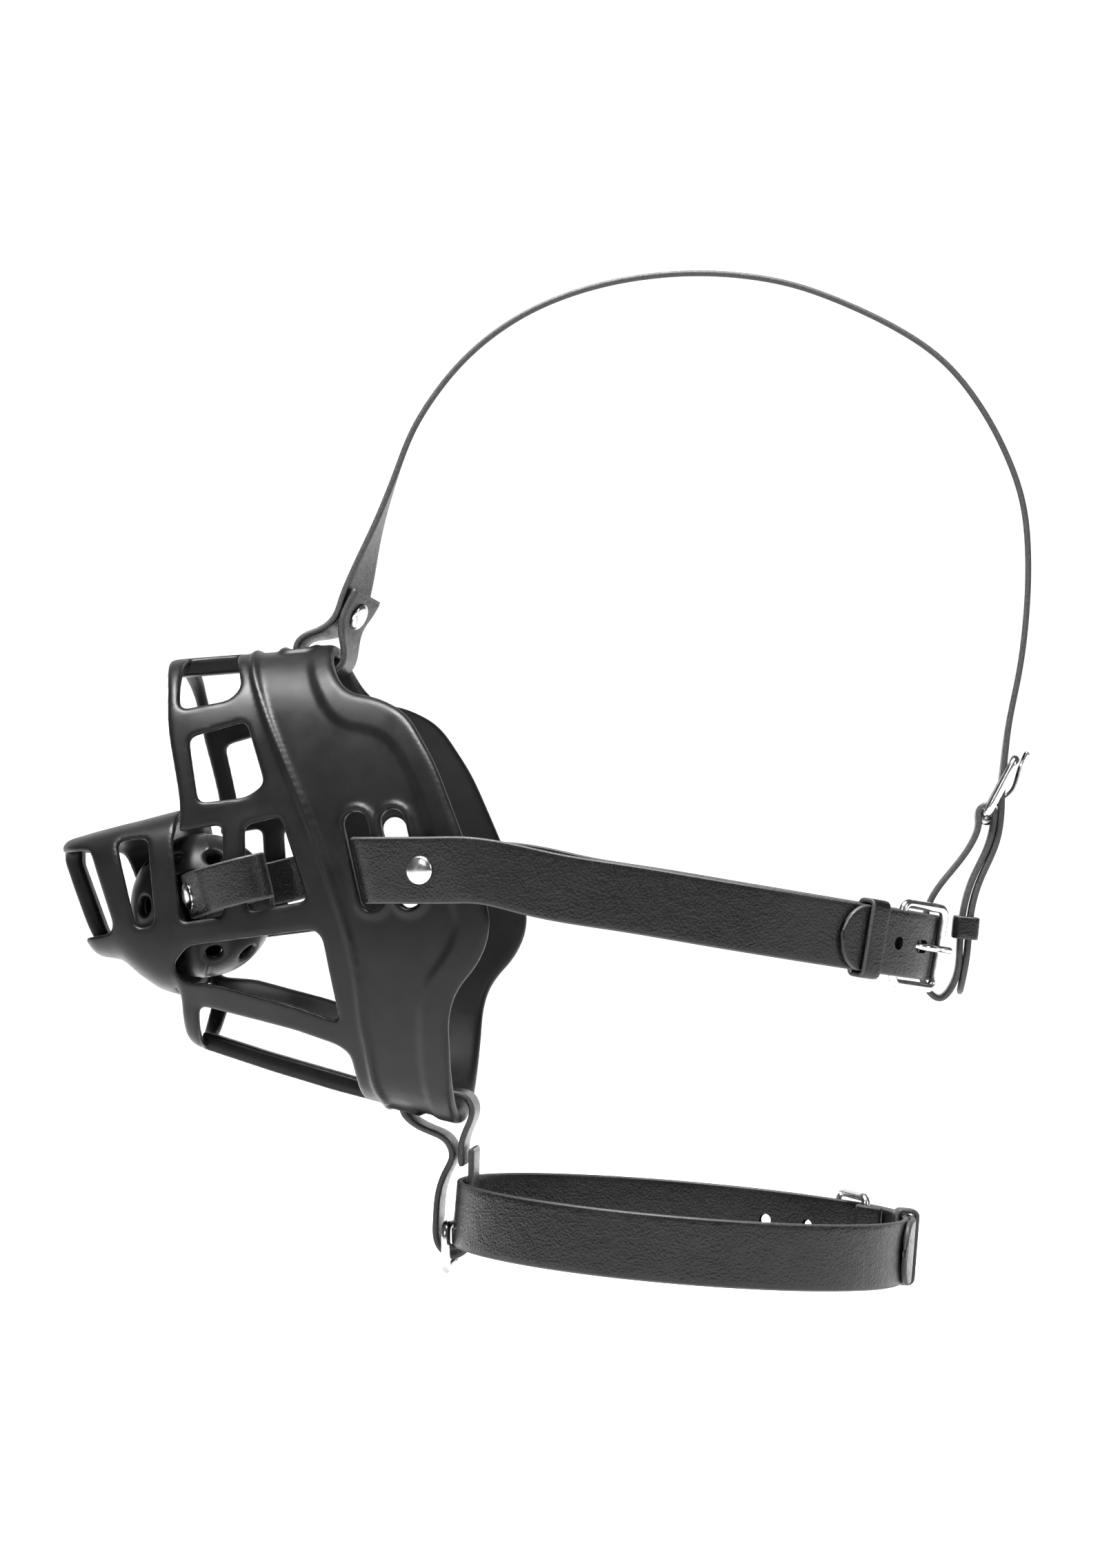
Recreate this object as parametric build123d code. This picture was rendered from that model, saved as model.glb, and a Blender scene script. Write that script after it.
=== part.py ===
"""Basket muzzle with a mouth ball, a buckled head harness and a neck collar.

Frame: +Z up, the nose of the basket points along -X, the left side is -Y.
The origin is the centre of the face opening, level with the side-strap slots.
All lengths are in millimetres and all angles in degrees.
"""
import math
import os

from build123d import *

# ---------------------------------------------------------------- driving dimensions
WALL = 3.3                # moulded basket wall
STRAP_WIDTH = 20.0        # all harness straps
STRAP = 1.8               # strap thickness, two bonded layers
LAYER_GAP = 0.3           # air between straps that lie on each other
BALL_STRAP_WIDTH = 14.0
BALL_STRAP = 1.8
BALL_RADIUS = 22.5
BALL_WALL = 3.0
BALL_HOLE_RADIUS = 2.8
WIRE_RADIUS = 1.4         # buckle and ring wire
PRONG_RADIUS = 1.0
PRONG_CLEARANCE = 0.06    # running fit of a prong's eye on its bar
PRONG_EYE = 3.0           # width of the eye
PRONG_SLOT = 4.6          # opening in the fold for the eye
HOLE_WIDTH = 4.0          # punched tongue holes
PRONG_HOLE_LENGTH = 8.0   # the hole that the prong is in, pulled long
FRAME_TURN = 16.0         # angle from a curved strap's heel bar to its front bar
KEEPER_WALL = 1.4
KEEPER_LENGTH = 7.0
KEEPER_GAP = 0.45
RIVET_CAP_RADIUS = 4.3
RIVET_CAP_HEIGHT = 1.6
RIVET_POST_RADIUS = 1.6

# Basket: stations along X, each with its top, bottom, half width and level of greatest width.
BODY_STATIONS = [
    (-96.0, 70.0, -50.0, 40.0, 4.0),
    (-80.0, 71.2, -52.0, 41.5, 2.0),
    (-60.0, 72.6, -58.5, 42.5, -4.0),
    (-40.0, 74.0, -64.5, 48.0, -4.0),
    (-20.0, 75.0, -69.5, 53.7, -4.0),
    (0.0, 76.0, -74.0, 60.5, -4.0),
    (18.0, 77.0, -78.0, 66.6, -4.0),
]
SNOUT_STATIONS = [
    (-125.5, 13.0, 6.0, 9.0, 9.5),
    (-122.0, 14.2, -3.0, 20.0, 6.0),
    (-118.0, 15.2, -14.0, 27.0, 1.0),
    (-113.0, 16.6, -22.5, 31.5, -3.0),
    (-104.0, 18.8, -23.8, 35.8, -2.5),
    (-98.0, 20.2, -29.0, 37.4, -4.0),
    (-92.0, 21.8, -33.0, 38.7, -5.0),
    (-75.0, 26.0, -38.0, 41.8, -6.0),
    (-52.0, 31.0, -42.0, 44.6, -6.0),
]
BODY_POWER = (2.5, 2.3)   # superellipse powers above and below the widest level
SNOUT_POWER = (4.0, 4.0)
SECTION_POINTS = 28
INNER_SHIFT = 0.3         # part of the wall by which the inner surface starts further back

# Side-view outlines (X, Z).
RIM = [
    (-39.5, 90), (-39.5, 71.5), (-36.0, 63.0), (-31.5, 58.3), (-22.0, 56.6), (-12.5, 51.5), (-3.0, 36.0),
    (6.0, 14.0), (14.2, -7.5), (14.0, -16.0), (10.5, -24.0), (3.5, -32.0), (0.8, -40.0), (0.5, -56.0),
    (0.0, -90.0),
]
FRONT = [   # what lies before the open front of the bridge and the jaw
    (-130.0, 100.0), (-92.5, 100.0), (-92.5, 71.5), (-91.0, 66.5), (-89.3, 60.0), (-88.0, 48.0), (-85.0, 34.5),
    (-83.4, 26.6), (-83.0, 20.0), (-83.0, -32.0), (-84.0, -36.0), (-84.4, -43.0), (-84.4, -47.5), (-83.0, -50.6),
    (-80.5, -53.0), (-80.5, -100.0), (-130.0, -100.0),
]
WINDOWS = {
    "bridge_lower": [(-81.0, 44.6), (-77.3, 24.6), (-62.5, 26.4), (-57.0, 30.4), (-63.6, 49.6)],
    "snout_front": [(-103.6, 13.0), (-96.8, -13.6), (-90.8, -12.4), (-93.6, 13.8)],
    "snout_rear": [(-85.0, 15.2), (-69.8, 18.0), (-68.8, -9.6), (-82.6, -11.8)],
    "cheek": [(-62.8, 17.8), (-51.6, 20.3), (-42.8, -5.0), (-61.6, -8.4)],
    "jaw_upper": [(-80.6, -18.8), (-41.0, -13.8), (-38.2, -16.4), (-33.6, -41.6), (-48.2, -36.8),
                  (-71.4, -30.6), (-82.0, -29.8), (-85.6, -25.0)],
}
WINDOW_RADIUS = 1.6
SPLIT_WINDOWS = {   # these run from the side round to a bar in the middle
    "bridge_upper": [(-84.6, 53.4), (-85.6, 62.0), (-86.3, 90.0), (-71.0, 90.0), (-71.0, 72.0), (-68.1, 66.0),
                     (-66.2, 60.5), (-69.5, 56.4)],
    "jaw_lower": [(-78.4, -37.2), (-48.2, -44.6), (-35.0, -49.0), (-31.2, -52.0), (-30.5, -60.0), (-30.0, -90.0),
                  (-81.0, -90.0), (-80.4, -52.0)],
    "nose": [(-130.0, 8.6), (-113.5, 10.2), (-112.0, 8.6), (-104.4, -12.6), (-105.8, -15.2), (-130.0, -18.8)],
}
MIDDLE_BARS = [     # crest, keel and nose bars, deeper than the wall
    [(-90.0, 70.0), (-69.0, 71.6), (-69.0, 66.4), (-90.0, 64.9)],
    [(-82.0, -50.9), (-60.0, -58.0), (-29.0, -66.8), (-29.0, -61.6), (-60.0, -52.8), (-82.0, -45.9)],
    [(-125.2, 12.4), (-125.0, 6.5), (-121.6, -3.2), (-117.6, -14.2), (-112.8, -22.2), (-107.6, -22.2),
     (-112.5, -14.2), (-116.6, -3.2), (-120.2, 6.5), (-120.2, 12.4)],
]
MIDDLE_BAR_HALF = 4.2
SLOT_LEAN = 13.3          # side slots lean forward at the top
SLOT_WIDTH = 7.3
SLOT_HEIGHT = 30.0
SLOT_CENTRES = [(-25.0, 7.0), (-13.4, 7.6)]
CROWN_SLOT = (-54.5, -47.5)
CHIN_SLOT = (-21.5, -15.0)
END_SLOT_HALF = 11.2

# Head strap: a U lying in a plane that falls towards the back.
HEAD_TILT = 9.5
HEAD_PIVOT = (5.0, 4.0)   # X, Z where the tilted part starts
HEAD_RADIUS = 69.1        # strap centre line round the back of the head
HEAD_CENTRE = 80.0
HEAD_HEEL = 58.0          # angles round the back: 0 is the left side, 90 the back
HEAD_TIP = 34.0
HEAD_KEEPER = 43.0

# Collar: a ring that falls slightly towards the back.
COLLAR_TILT = 4.7
COLLAR_FRONT = (-1.6, -101.6)
COLLAR_RADIUS = 69.3
COLLAR_HEEL = 122.0
COLLAR_TIP = 76.0
COLLAR_KEEPER = 100.0

# Crown buckle, in the XZ plane.
CROWN_HEEL = (162.2, 21.5)
CROWN_FRONT_BAR = (171.0, 38.2)
CROWN_KNEE = (170.2, 28.4)
CROWN_TIP = (174.7, 40.0)

# Ring of the chin link.
RING_BAR = (-4.4, -105.5)
RING_INNER = (22.0, 12.2)

FOLD = STRAP / 2 + WIRE_RADIUS + 0.15   # strap centre line round a buckle bar
LAYER = STRAP + LAYER_GAP


# ---------------------------------------------------------------- helpers
def superellipse(value, power):
    """Signed power of a sine or cosine, for rounded sections."""
    return math.copysign(abs(value) ** (2.0 / power), value)


def section(station, powers, inset):
    """One closed cross-section of the basket, pulled in by inset and moved back a little with it."""
    x, top, bottom, half_width, level = station
    points = []
    for index in range(SECTION_POINTS):
        angle = 2 * math.pi * (index + 0.5) / SECTION_POINTS
        side = math.cos(angle)
        rise = math.sin(angle)
        power = powers[0] if rise > 0 else powers[1]
        reach = (top - level - inset) if rise > 0 else (level - bottom - inset)
        y = (half_width - inset) * superellipse(side, power)
        z = level + reach * superellipse(rise, power)
        points.append((x + inset * INNER_SHIFT, y, z))
    return Face(Wire(Spline(*points, periodic=True)))


def hull_of(stations, powers, inset=0.0):
    """Ruled solid through the stations."""
    return loft([section(station, powers, inset) for station in stations], ruled=True)


def side_prism(points, low=-90.0, high=90.0, radius=0.0):
    """Prism along Y over an outline given in X and Z."""
    face = make_face(Polyline(*[(x, 0, z) for x, z in points], close=True)).face()
    if radius:
        face = Face(face.outer_wire().fillet_2d(radius, face.vertices()))
    prism = extrude(face, amount=high - low, dir=(0, 1, 0))
    return Pos(0, low, 0) * prism


def slanted_slot(centre):
    """Round-ended side slot, leaning forward at the top."""
    cutter = Rotation(90, 0, 0) * extrude(SlotOverall(SLOT_HEIGHT, SLOT_WIDTH, rotation=90), 90, both=True)
    return Pos(centre[0], 0, centre[1]) * Rotation(0, -SLOT_LEAN, 0) * cutter


def strip_face(points, thickness, plane):
    """Face of a bent strap: an even thickness each side of a smooth line through points."""
    line = Spline(*points)
    count = 5 * len(points)
    outer = []
    inner = []
    for index in range(count + 1):
        place = line @ (index / count)
        heading = line % (index / count)
        outer.append((place.X - heading.Y * thickness / 2, place.Y + heading.X * thickness / 2))
        inner.append((place.X + heading.Y * thickness / 2, place.Y - heading.X * thickness / 2))
    edges = [Spline(*outer), Line(outer[-1], inner[-1]), Spline(*reversed(inner)), Line(inner[0], outer[0])]
    return plane * make_face(Wire(edges))


def strip(points, thickness=STRAP, width=STRAP_WIDTH, plane=Plane.XZ):
    """Bent strap, centred on its plane."""
    return extrude(strip_face(points, thickness, plane), width / 2, both=True)


def rod(start, end, radius):
    """Round bar between two points."""
    start = Vector(*start)
    end = Vector(*end)
    return Solid.make_cylinder(radius, (end - start).length, Plane(start, z_dir=end - start))


def across(point, offset, round_plane):
    """Lift a point of a strap plane to 3D, offset along the strap's width."""
    if round_plane:
        return (point[0], point[1], offset)
    return (point[0], offset, point[1])


def buckle_frame(heel, front, round_plane, inner_width=STRAP_WIDTH + 1.6):
    """Rectangular wire frame from its heel bar to its front bar."""
    heel_3d = Vector(*across(heel, 0, round_plane))
    front_3d = Vector(*across(front, 0, round_plane))
    width_dir = Vector(*across((0, 0), 1, round_plane))
    length = (front_3d - heel_3d).length
    plane = Plane((heel_3d + front_3d) / 2, x_dir=front_3d - heel_3d, z_dir=(front_3d - heel_3d).cross(width_dir))
    return wire_loop(plane, length, inner_width + 2 * WIRE_RADIUS, 2.6)


def wire_loop(plane, length, width, corner):
    """Closed rounded-rectangle loop of round wire."""
    path = (plane * RectangleRounded(length, width, corner)).face().outer_wire()
    profile = Plane(path @ 0, z_dir=path % 0) * Circle(WIRE_RADIUS)
    return sweep(profile, path=path, transition=Transition.ROUND)


def prong(heel, knee, tip, round_plane):
    """Bent prong with an eye that turns on the heel bar."""
    eye = rod(across(heel, -PRONG_EYE / 2, round_plane), across(heel, PRONG_EYE / 2, round_plane),
              WIRE_RADIUS + PRONG_CLEARANCE + 0.8)
    bore = rod(across(heel, -PRONG_EYE, round_plane), across(heel, PRONG_EYE, round_plane),
               WIRE_RADIUS + PRONG_CLEARANCE)
    middle = across(knee, 0, round_plane)
    blade = rod(across(heel, 0, round_plane), middle, PRONG_RADIUS) + Pos(*middle) * Sphere(PRONG_RADIUS)
    return eye + blade + rod(middle, across(tip, 0, round_plane), PRONG_RADIUS) - bore


def rivet(place, normal, stack):
    """Rivet through a stack: outer cap with its post, and a separate inner cap."""
    plane = Plane(place, z_dir=normal)
    dome = Pos(0, 0, stack / 2) * Cylinder(RIVET_CAP_RADIUS, RIVET_CAP_HEIGHT,
                                           align=(Align.CENTER, Align.CENTER, Align.MIN))
    dome = fillet(dome.edges().group_by(Axis.Z)[-1], RIVET_CAP_HEIGHT * 0.8)
    post = Cylinder(RIVET_POST_RADIUS, stack, align=(Align.CENTER, Align.CENTER, Align.CENTER))
    back = Pos(0, 0, -stack / 2) * Cylinder(RIVET_CAP_RADIUS * 0.9, 1.0,
                                            align=(Align.CENTER, Align.CENTER, Align.MAX))
    back = fillet(back.edges().group_by(Axis.Z)[0], 0.5)
    bore = Cylinder(RIVET_POST_RADIUS, stack + 0.2)
    return [plane * (dome + post), plane * back, plane * bore]


def polar(radius, angle):
    """Point of a round strap path: angle 0 is the left side, 90 the back, 180 the right side."""
    turn = math.radians(angle)
    return (radius * math.sin(turn), -radius * math.cos(turn))


def arc_points(radius, first, last, count):
    """Evenly spaced points of a round strap path."""
    return [polar(radius, first + (last - first) * index / (count - 1)) for index in range(count)]


def fold_points(radius, heel):
    """End of a strap folded inwards round its buckle bar."""
    bar = radius - FOLD
    half_turn = math.degrees(FOLD / bar)
    return [
        polar(radius, heel - 0.5 * half_turn),
        polar(bar + 0.87 * FOLD, heel + 0.5 * half_turn),
        polar(bar, heel + half_turn),
        polar(bar - 0.87 * FOLD, heel + 0.5 * half_turn),
        polar(bar - FOLD, heel - 0.5 * half_turn),
        polar(radius - 1.5 * LAYER, heel - 4.5),
        polar(radius - LAYER, heel - 8.5),
    ]


def tongue_points(radius, heel, tip):
    """End of a strap that passes under the front bar, over the fold and on to its tip."""
    points = [polar(radius, heel + 24), polar(radius + 0.3, heel + FRAME_TURN), polar(radius + 1.6, heel + 8)]
    return points + arc_points(radius + LAYER, heel, tip, 5)


def fold_slot(radius, heel):
    """Cutter for the opening that lets the prong through a fold."""
    place = polar(radius - FOLD, heel)
    return Pos(place[0], place[1], 0) * Rotation(0, 0, heel) * Pos(2.5, 0, 0) * Box(11.0, 12.0, PRONG_SLOT)


def hole(radius, angle, length, depth):
    """Cutter for a tongue hole, round or stretched along the strap; it ends depth inside the radius."""
    outline = SlotOverall(length, HOLE_WIDTH) if length > HOLE_WIDTH else Circle(HOLE_WIDTH / 2)
    place = polar(radius - depth, angle)
    plane = Plane((place[0], place[1], 0), x_dir=polar(1, angle + 90) + (0,), z_dir=polar(1, angle) + (0,))
    return plane * extrude(outline, 8)


def blunt_tip(radius, tip):
    """Cutters that bring the end of a tongue to a blunt point."""
    cutters = []
    place = polar(radius, tip)
    plane = Plane((place[0], place[1], 0), x_dir=polar(1, tip + 90) + (0,), z_dir=polar(1, tip) + (0,))
    for side in (-1, 1):
        corner = Polyline((-1, side * 3.0), (9.0, side * 12), (-1, side * 12), close=True)
        cutters.append(plane * extrude(make_face(corner), 4, both=True))
    return cutters


def round_keeper(radius, angle):
    """Keeper: a rectangular loop round the two layers of a curved strap."""
    low = radius - STRAP / 2 - KEEPER_GAP
    high = radius + LAYER + STRAP / 2 + KEEPER_GAP
    spread = math.degrees(KEEPER_LENGTH / 2 / high)
    half_width = STRAP_WIDTH / 2 + KEEPER_GAP
    shell = Polyline(*arc_points(high + KEEPER_WALL, angle - spread, angle + spread, 4),
                     *arc_points(low - KEEPER_WALL, angle + spread, angle - spread, 4), close=True)
    room = Polyline(*arc_points(high, angle - 2 * spread, angle + 2 * spread, 7),
                    *arc_points(low, angle + 2 * spread, angle - 2 * spread, 7), close=True)
    block = extrude(make_face(shell), half_width + KEEPER_WALL, both=True)
    return block - extrude(make_face(room), half_width, both=True)


def round_buckle(radius, heel):
    """Frame and prong of a buckle on a curved strap."""
    bar = polar(radius - FOLD, heel)
    lift = radius + 0.3 + STRAP / 2 + 0.25 + WIRE_RADIUS
    front = polar(lift, heel + FRAME_TURN)
    knee = polar(radius + LAYER + STRAP / 2 + PRONG_RADIUS + 0.3, heel + 5.5)
    tip = polar(lift + WIRE_RADIUS + PRONG_RADIUS + 0.5, heel + FRAME_TURN + 1.5)
    return buckle_frame(bar, front, True), prong(bar, knee, tip, True)


def tilted(shape, pivot, angle):
    """Drop a shape drawn level into a strap plane that falls towards the back."""
    return Pos(pivot[0], 0, pivot[1]) * Rotation(0, angle, 0) * Pos(-pivot[0], 0, 0) * shape


def save(name, *shapes):
    """Write one node; several shapes become a group of separate solids."""
    solids = [solid for shape in shapes for solid in shape.solids()]
    export_step(solids[0] if len(solids) == 1 else Compound(children=solids), f"parts/{name}.step")


# ---------------------------------------------------------------- basket and ball
def make_basket():
    """Moulded shell: bridge, snout and jaw in one wall, with windows, slots and a trimmed rim."""
    front = side_prism(FRONT)
    shell = (hull_of(BODY_STATIONS, BODY_POWER) - front) + hull_of(SNOUT_STATIONS, SNOUT_POWER)
    shell -= hull_of(BODY_STATIONS, BODY_POWER, WALL) - front
    shell -= hull_of(SNOUT_STATIONS[1:], SNOUT_POWER, WALL)
    shell -= side_prism(RIM + [(60.0, -90.0), (60.0, 90.0)])
    for outline in WINDOWS.values():
        shell -= side_prism(outline, radius=WINDOW_RADIUS)
    for outline in SPLIT_WINDOWS.values():
        shell -= side_prism(outline, MIDDLE_BAR_HALF, 90.0)
        shell -= side_prism(outline, -90.0, -MIDDLE_BAR_HALF)
    for outline in MIDDLE_BARS:
        shell += side_prism(outline, -MIDDLE_BAR_HALF, MIDDLE_BAR_HALF)
    for centre in SLOT_CENTRES:
        shell -= slanted_slot(centre)
    for low, high, level in (CROWN_SLOT + (75.0,), CHIN_SLOT + (-70.0,)):
        shell -= Pos((low + high) / 2, 0, level) * Box(high - low, 2 * END_SLOT_HALF, 24)
    return shell.solids().sort_by(SortBy.VOLUME)[-1]


BALL_CENTRE = (-82.5, 0.0, -6.7)
BALL_STRAP_TILT = -14.0
BALL_STRAP_LEVEL = (-83.0, -4.0)


def make_ball():
    """Hollow ball with three rows of breathing holes and a slot for its strap."""
    ball = Sphere(BALL_RADIUS) - Sphere(BALL_RADIUS - BALL_WALL)
    for latitude in (-42.0, 0.0, 42.0):
        for turn in range(8):
            angle = 45.0 * turn + (22.5 if latitude else 0.0)
            if latitude == 0.0 and turn in (2, 6):
                continue
            hole = Pos(BALL_RADIUS, 0, 0) * Rotation(0, 90, 0) * Cylinder(BALL_HOLE_RADIUS, 16)
            ball -= Rotation(0, 0, angle) * Rotation(0, -latitude, 0) * hole
    slot = tilted(Box(BALL_STRAP + 4.0, 80, BALL_STRAP_WIDTH + 1.0), (0, 0), BALL_STRAP_TILT)
    return Pos(*BALL_CENTRE) * ball - Pos(BALL_STRAP_LEVEL[0], 0, BALL_STRAP_LEVEL[1]) * slot


def make_ball_strap():
    """Strap through the ball; each end loops round the bar between two windows."""
    half = [(-82.5, 0.0), (-82.6, -10.0), (-82.7, -20.0), (-82.4, -26.5), (-79.4, -33.2), (-73.4, -42.0),
            (-66.6, -46.2), (-58.5, -46.8), (-55.0, -43.5), (-57.5, -39.4), (-63.5, -37.6), (-69.8, -36.6),
            (-74.5, -34.6), (-77.4, -31.9), (-78.9, -28.8), (-79.7, -25.6)]
    near = extrude(strip_face(half, BALL_STRAP, Plane.XY), BALL_STRAP_WIDTH / 2, both=True)
    near -= Pos(0, 50, 0) * Box(400, 100, 100)
    whole = near + mirror(near, about=Plane.XZ)
    return tilted(whole, BALL_STRAP_LEVEL, BALL_STRAP_TILT)


def make_ball_rivets():
    """One rivet each side, joining the two layers close to the ball."""
    return [[tilted(piece, BALL_STRAP_LEVEL, BALL_STRAP_TILT)
             for piece in rivet((-79.9, side * 29.3, 0), (-0.9, side * 0.44, 0), 4.1)] for side in (-1, 1)]


# ---------------------------------------------------------------- head strap
def slot_leg(points):
    """Level part of a side strap, leaning with the slots that it threads."""
    lean = math.radians(SLOT_LEAN)
    leg = extrude(strip_face(points, STRAP, Plane.XY), amount=STRAP_WIDTH / math.cos(lean),
                  dir=(-math.sin(lean), 0, math.cos(lean)))
    return Pos(math.tan(lean) * STRAP_WIDTH / 2, 0, HEAD_PIVOT[1] - STRAP_WIDTH / 2) * leg


SLOT_PATH = [
    (13.0, -69.1), (8.5, -68.5), (0.0, -66.0), (-10.0, -62.7), (-19.0, -59.4), (-24.4, -56.2), (-26.0, -51.6),
    (-24.4, -47.4), (-20.2, -46.6), (-15.8, -48.6), (-14.0, -53.0), (-12.0, -57.6), (-7.6, -60.3), (-1.0, -62.6),
    (3.5, -64.2),
]
HEAD_SIDE = [(11.0, -69.1), (30.0, -69.1), (55.0, -69.1), (80.0, -69.1)]


def head_level(shape):
    """Put a piece of the head strap, drawn level, into its tilted plane."""
    return tilted(shape, HEAD_PIVOT, HEAD_TILT)


def make_buckle_strap():
    """Left side strap: slot loop in front, buckle fold behind."""
    curve = arc_points(HEAD_RADIUS, 12, HEAD_HEEL - 5, 4) + fold_points(HEAD_RADIUS, HEAD_HEEL)
    points = HEAD_SIDE + [(HEAD_CENTRE + x, y) for x, y in curve]
    rear = strip(points, plane=Plane.XY) - Pos(HEAD_CENTRE, 0, 0) * fold_slot(HEAD_RADIUS, HEAD_HEEL)
    return slot_leg(SLOT_PATH) + head_level(rear)


def make_tongue_strap():
    """Right side strap: round the back, through the buckle, to a tip on the left."""
    curve = arc_points(HEAD_RADIUS, 168, HEAD_HEEL + 34, 7) + tongue_points(HEAD_RADIUS, HEAD_HEEL, HEAD_TIP)
    points = [(x, -y) for x, y in HEAD_SIDE] + [(HEAD_CENTRE + x, y) for x, y in curve]
    cutters = blunt_tip(HEAD_RADIUS + LAYER, HEAD_TIP)
    cutters.append(hole(HEAD_RADIUS, HEAD_HEEL + 4.6, PRONG_HOLE_LENGTH, 0))
    for angle in (HEAD_HEEL - 6, HEAD_HEEL + 24, HEAD_HEEL + 38, HEAD_HEEL + 52):
        cutters.append(hole(HEAD_RADIUS, angle, HOLE_WIDTH, 4 if angle > HEAD_HEEL else -STRAP / 2))
    rear = strip(points, plane=Plane.XY) - [Pos(HEAD_CENTRE, 0, 0) * cutter for cutter in cutters]
    return mirror(slot_leg(SLOT_PATH), about=Plane.XZ) + head_level(rear)


def make_side_rivets():
    """Rivets that close the two slot loops."""
    return [rivet((-5.9, side * 62.5, HEAD_PIVOT[1]), (-0.33, side, 0), 5.0) for side in (-1, 1)]


# ---------------------------------------------------------------- crown strap
CROWN_PATH = [
    (-30.6, 90.5), (-33.0, 86.2), (-35.4, 81.8), (-36.2, 77.0), (-36.2, 72.6), (-37.4, 68.2), (-41.0, 66.0),
    (-45.6, 66.0), (-49.8, 67.6), (-51.6, 71.0), (-51.4, 75.0), (-49.0, 77.3), (-44.6, 78.6), (-40.4, 80.4),
    (-37.4, 83.2), (-35.2, 87.8), (-32.9, 94.6), (-30.6, 102.0), (-27.0, 113.0), (-22.0, 127.6), (-16.8, 141.0),
    (-9.6, 153.0), (0.4, 164.8), (12.5, 174.6), (27.0, 182.2), (46.3, 188.0), (70.7, 190.6), (87.6, 189.6),
    (104.5, 186.1), (121.5, 179.5), (136.0, 172.0), (149.2, 162.4), (160.1, 149.2), (168.6, 133.4), (173.5, 119.0),
    (175.3, 104.6), (174.9, 85.0), (172.5, 65.6), (169.2, 49.0), (167.8, 38.4), (167.0, 29.5), (166.7, 21.5),
    (165.0, 12.2), (160.4, 1.6), (157.4, -9.0), (156.2, -21.0), (153.8, -34.0),
]
LOOP_PATH = [
    (164.55, 19.5), (162.9, 12.4), (158.2, 2.2), (155.1, -8.0), (153.9, -20.0), (151.8, -31.0), (147.6, -35.2),
    (143.4, -31.6), (142.2, -20.0), (144.6, -6.0), (151.6, 4.2), (158.2, 13.6), (159.85, 19.5),
]
CROWN_HOLES = (-8.0, 5.0, 57.0, 69.0)


def make_crown_strap():
    """Strap over the head: front loop round the crest bar, tongue behind."""
    strap = strip(CROWN_PATH)
    bored = Plane((160, 0, 26.4), x_dir=(0, 0, 1), z_dir=(1, 0, 0))
    strap -= bored * extrude(SlotOverall(PRONG_HOLE_LENGTH, HOLE_WIDTH), 20)
    for height in CROWN_HOLES:
        strap -= Pos(168, 0, height) * Rotation(0, 90, 0) * Cylinder(HOLE_WIDTH / 2, 30)
    return strap


def make_crown_rivet():
    """Rivet that closes the front loop, its cap towards the face."""
    return rivet((-35.2, 0, 84.7), (0.89, 0, -0.455), 4.5)


def make_crown_loop():
    """Short strap that hangs the crown buckle on the head strap."""
    heel = CROWN_HEEL
    top = arc_strip(heel, FOLD)
    loop = strip(LOOP_PATH) + top
    return loop - Pos(heel[0], 0, heel[1] + 1) * Box(9.0, PRONG_SLOT, 11.0)


def arc_strip(heel, radius):
    """Half turn of a strap over a bar, with short straight legs down."""
    x, z = heel
    outer = radius + STRAP / 2
    inner = radius - STRAP / 2
    half_turn = extrude(Plane.XZ * (Circle(outer) - Circle(inner)), STRAP_WIDTH / 2, both=True)
    half_turn -= Pos(0, 0, -50) * Box(100, 100, 100)
    legs = [Pos(side * radius, 0, -1.1) * Box(STRAP, STRAP_WIDTH, 2.2) for side in (-1, 1)]
    return Pos(x, 0, z) * (half_turn + legs)


def make_crown_keeper():
    """Loop that holds the tongue against the crown loop."""
    room = 2 * STRAP + LAYER_GAP + 2 * KEEPER_GAP + 0.3
    width = STRAP_WIDTH + 2 * KEEPER_GAP
    block = Box(room + 2 * KEEPER_WALL, width + 2 * KEEPER_WALL, KEEPER_LENGTH) - Box(room, width, 20)
    return Pos(155.7, 0, -13.5) * Rotation(0, 5.6, 0) * block


# ---------------------------------------------------------------- chin link, ring and collar
LINK_PATH = [
    (3.2, -82.0), (3.0, -92.0), (2.8, -104.0), (2.2, -112.0), (-2.2, -115.0), (-6.6, -112.4), (-7.9, -104.0),
    (-7.2, -96.0), (-4.8, -89.0), (-2.9, -84.4), (-4.6, -79.6), (-10.0, -76.6), (-15.6, -73.6), (-18.3, -69.8),
    (-17.2, -66.2), (-12.4, -64.8), (-4.0, -64.8), (1.4, -66.2), (3.3, -69.8), (2.0, -75.0), (0.2, -80.0),
    (0.1, -87.4),
]


def make_chin_ring():
    """Rectangular ring hung in the lower bend of the chin link."""
    width = RING_INNER[0] + 2 * WIRE_RADIUS
    height = RING_INNER[1] + WIRE_RADIUS
    plane = Plane((RING_BAR[0], 0, RING_BAR[1] - height / 2), x_dir=(0, 1, 0), z_dir=(1, 0, 0))
    return wire_loop(plane, width, height, 3.6)


def collar_level(shape):
    """Put a piece of the collar, drawn level about its centre, into its tilted plane."""
    return Pos(COLLAR_FRONT[0], 0, COLLAR_FRONT[1]) * Rotation(0, COLLAR_TILT, 0) * Pos(COLLAR_RADIUS, 0, 0) * shape


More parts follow.
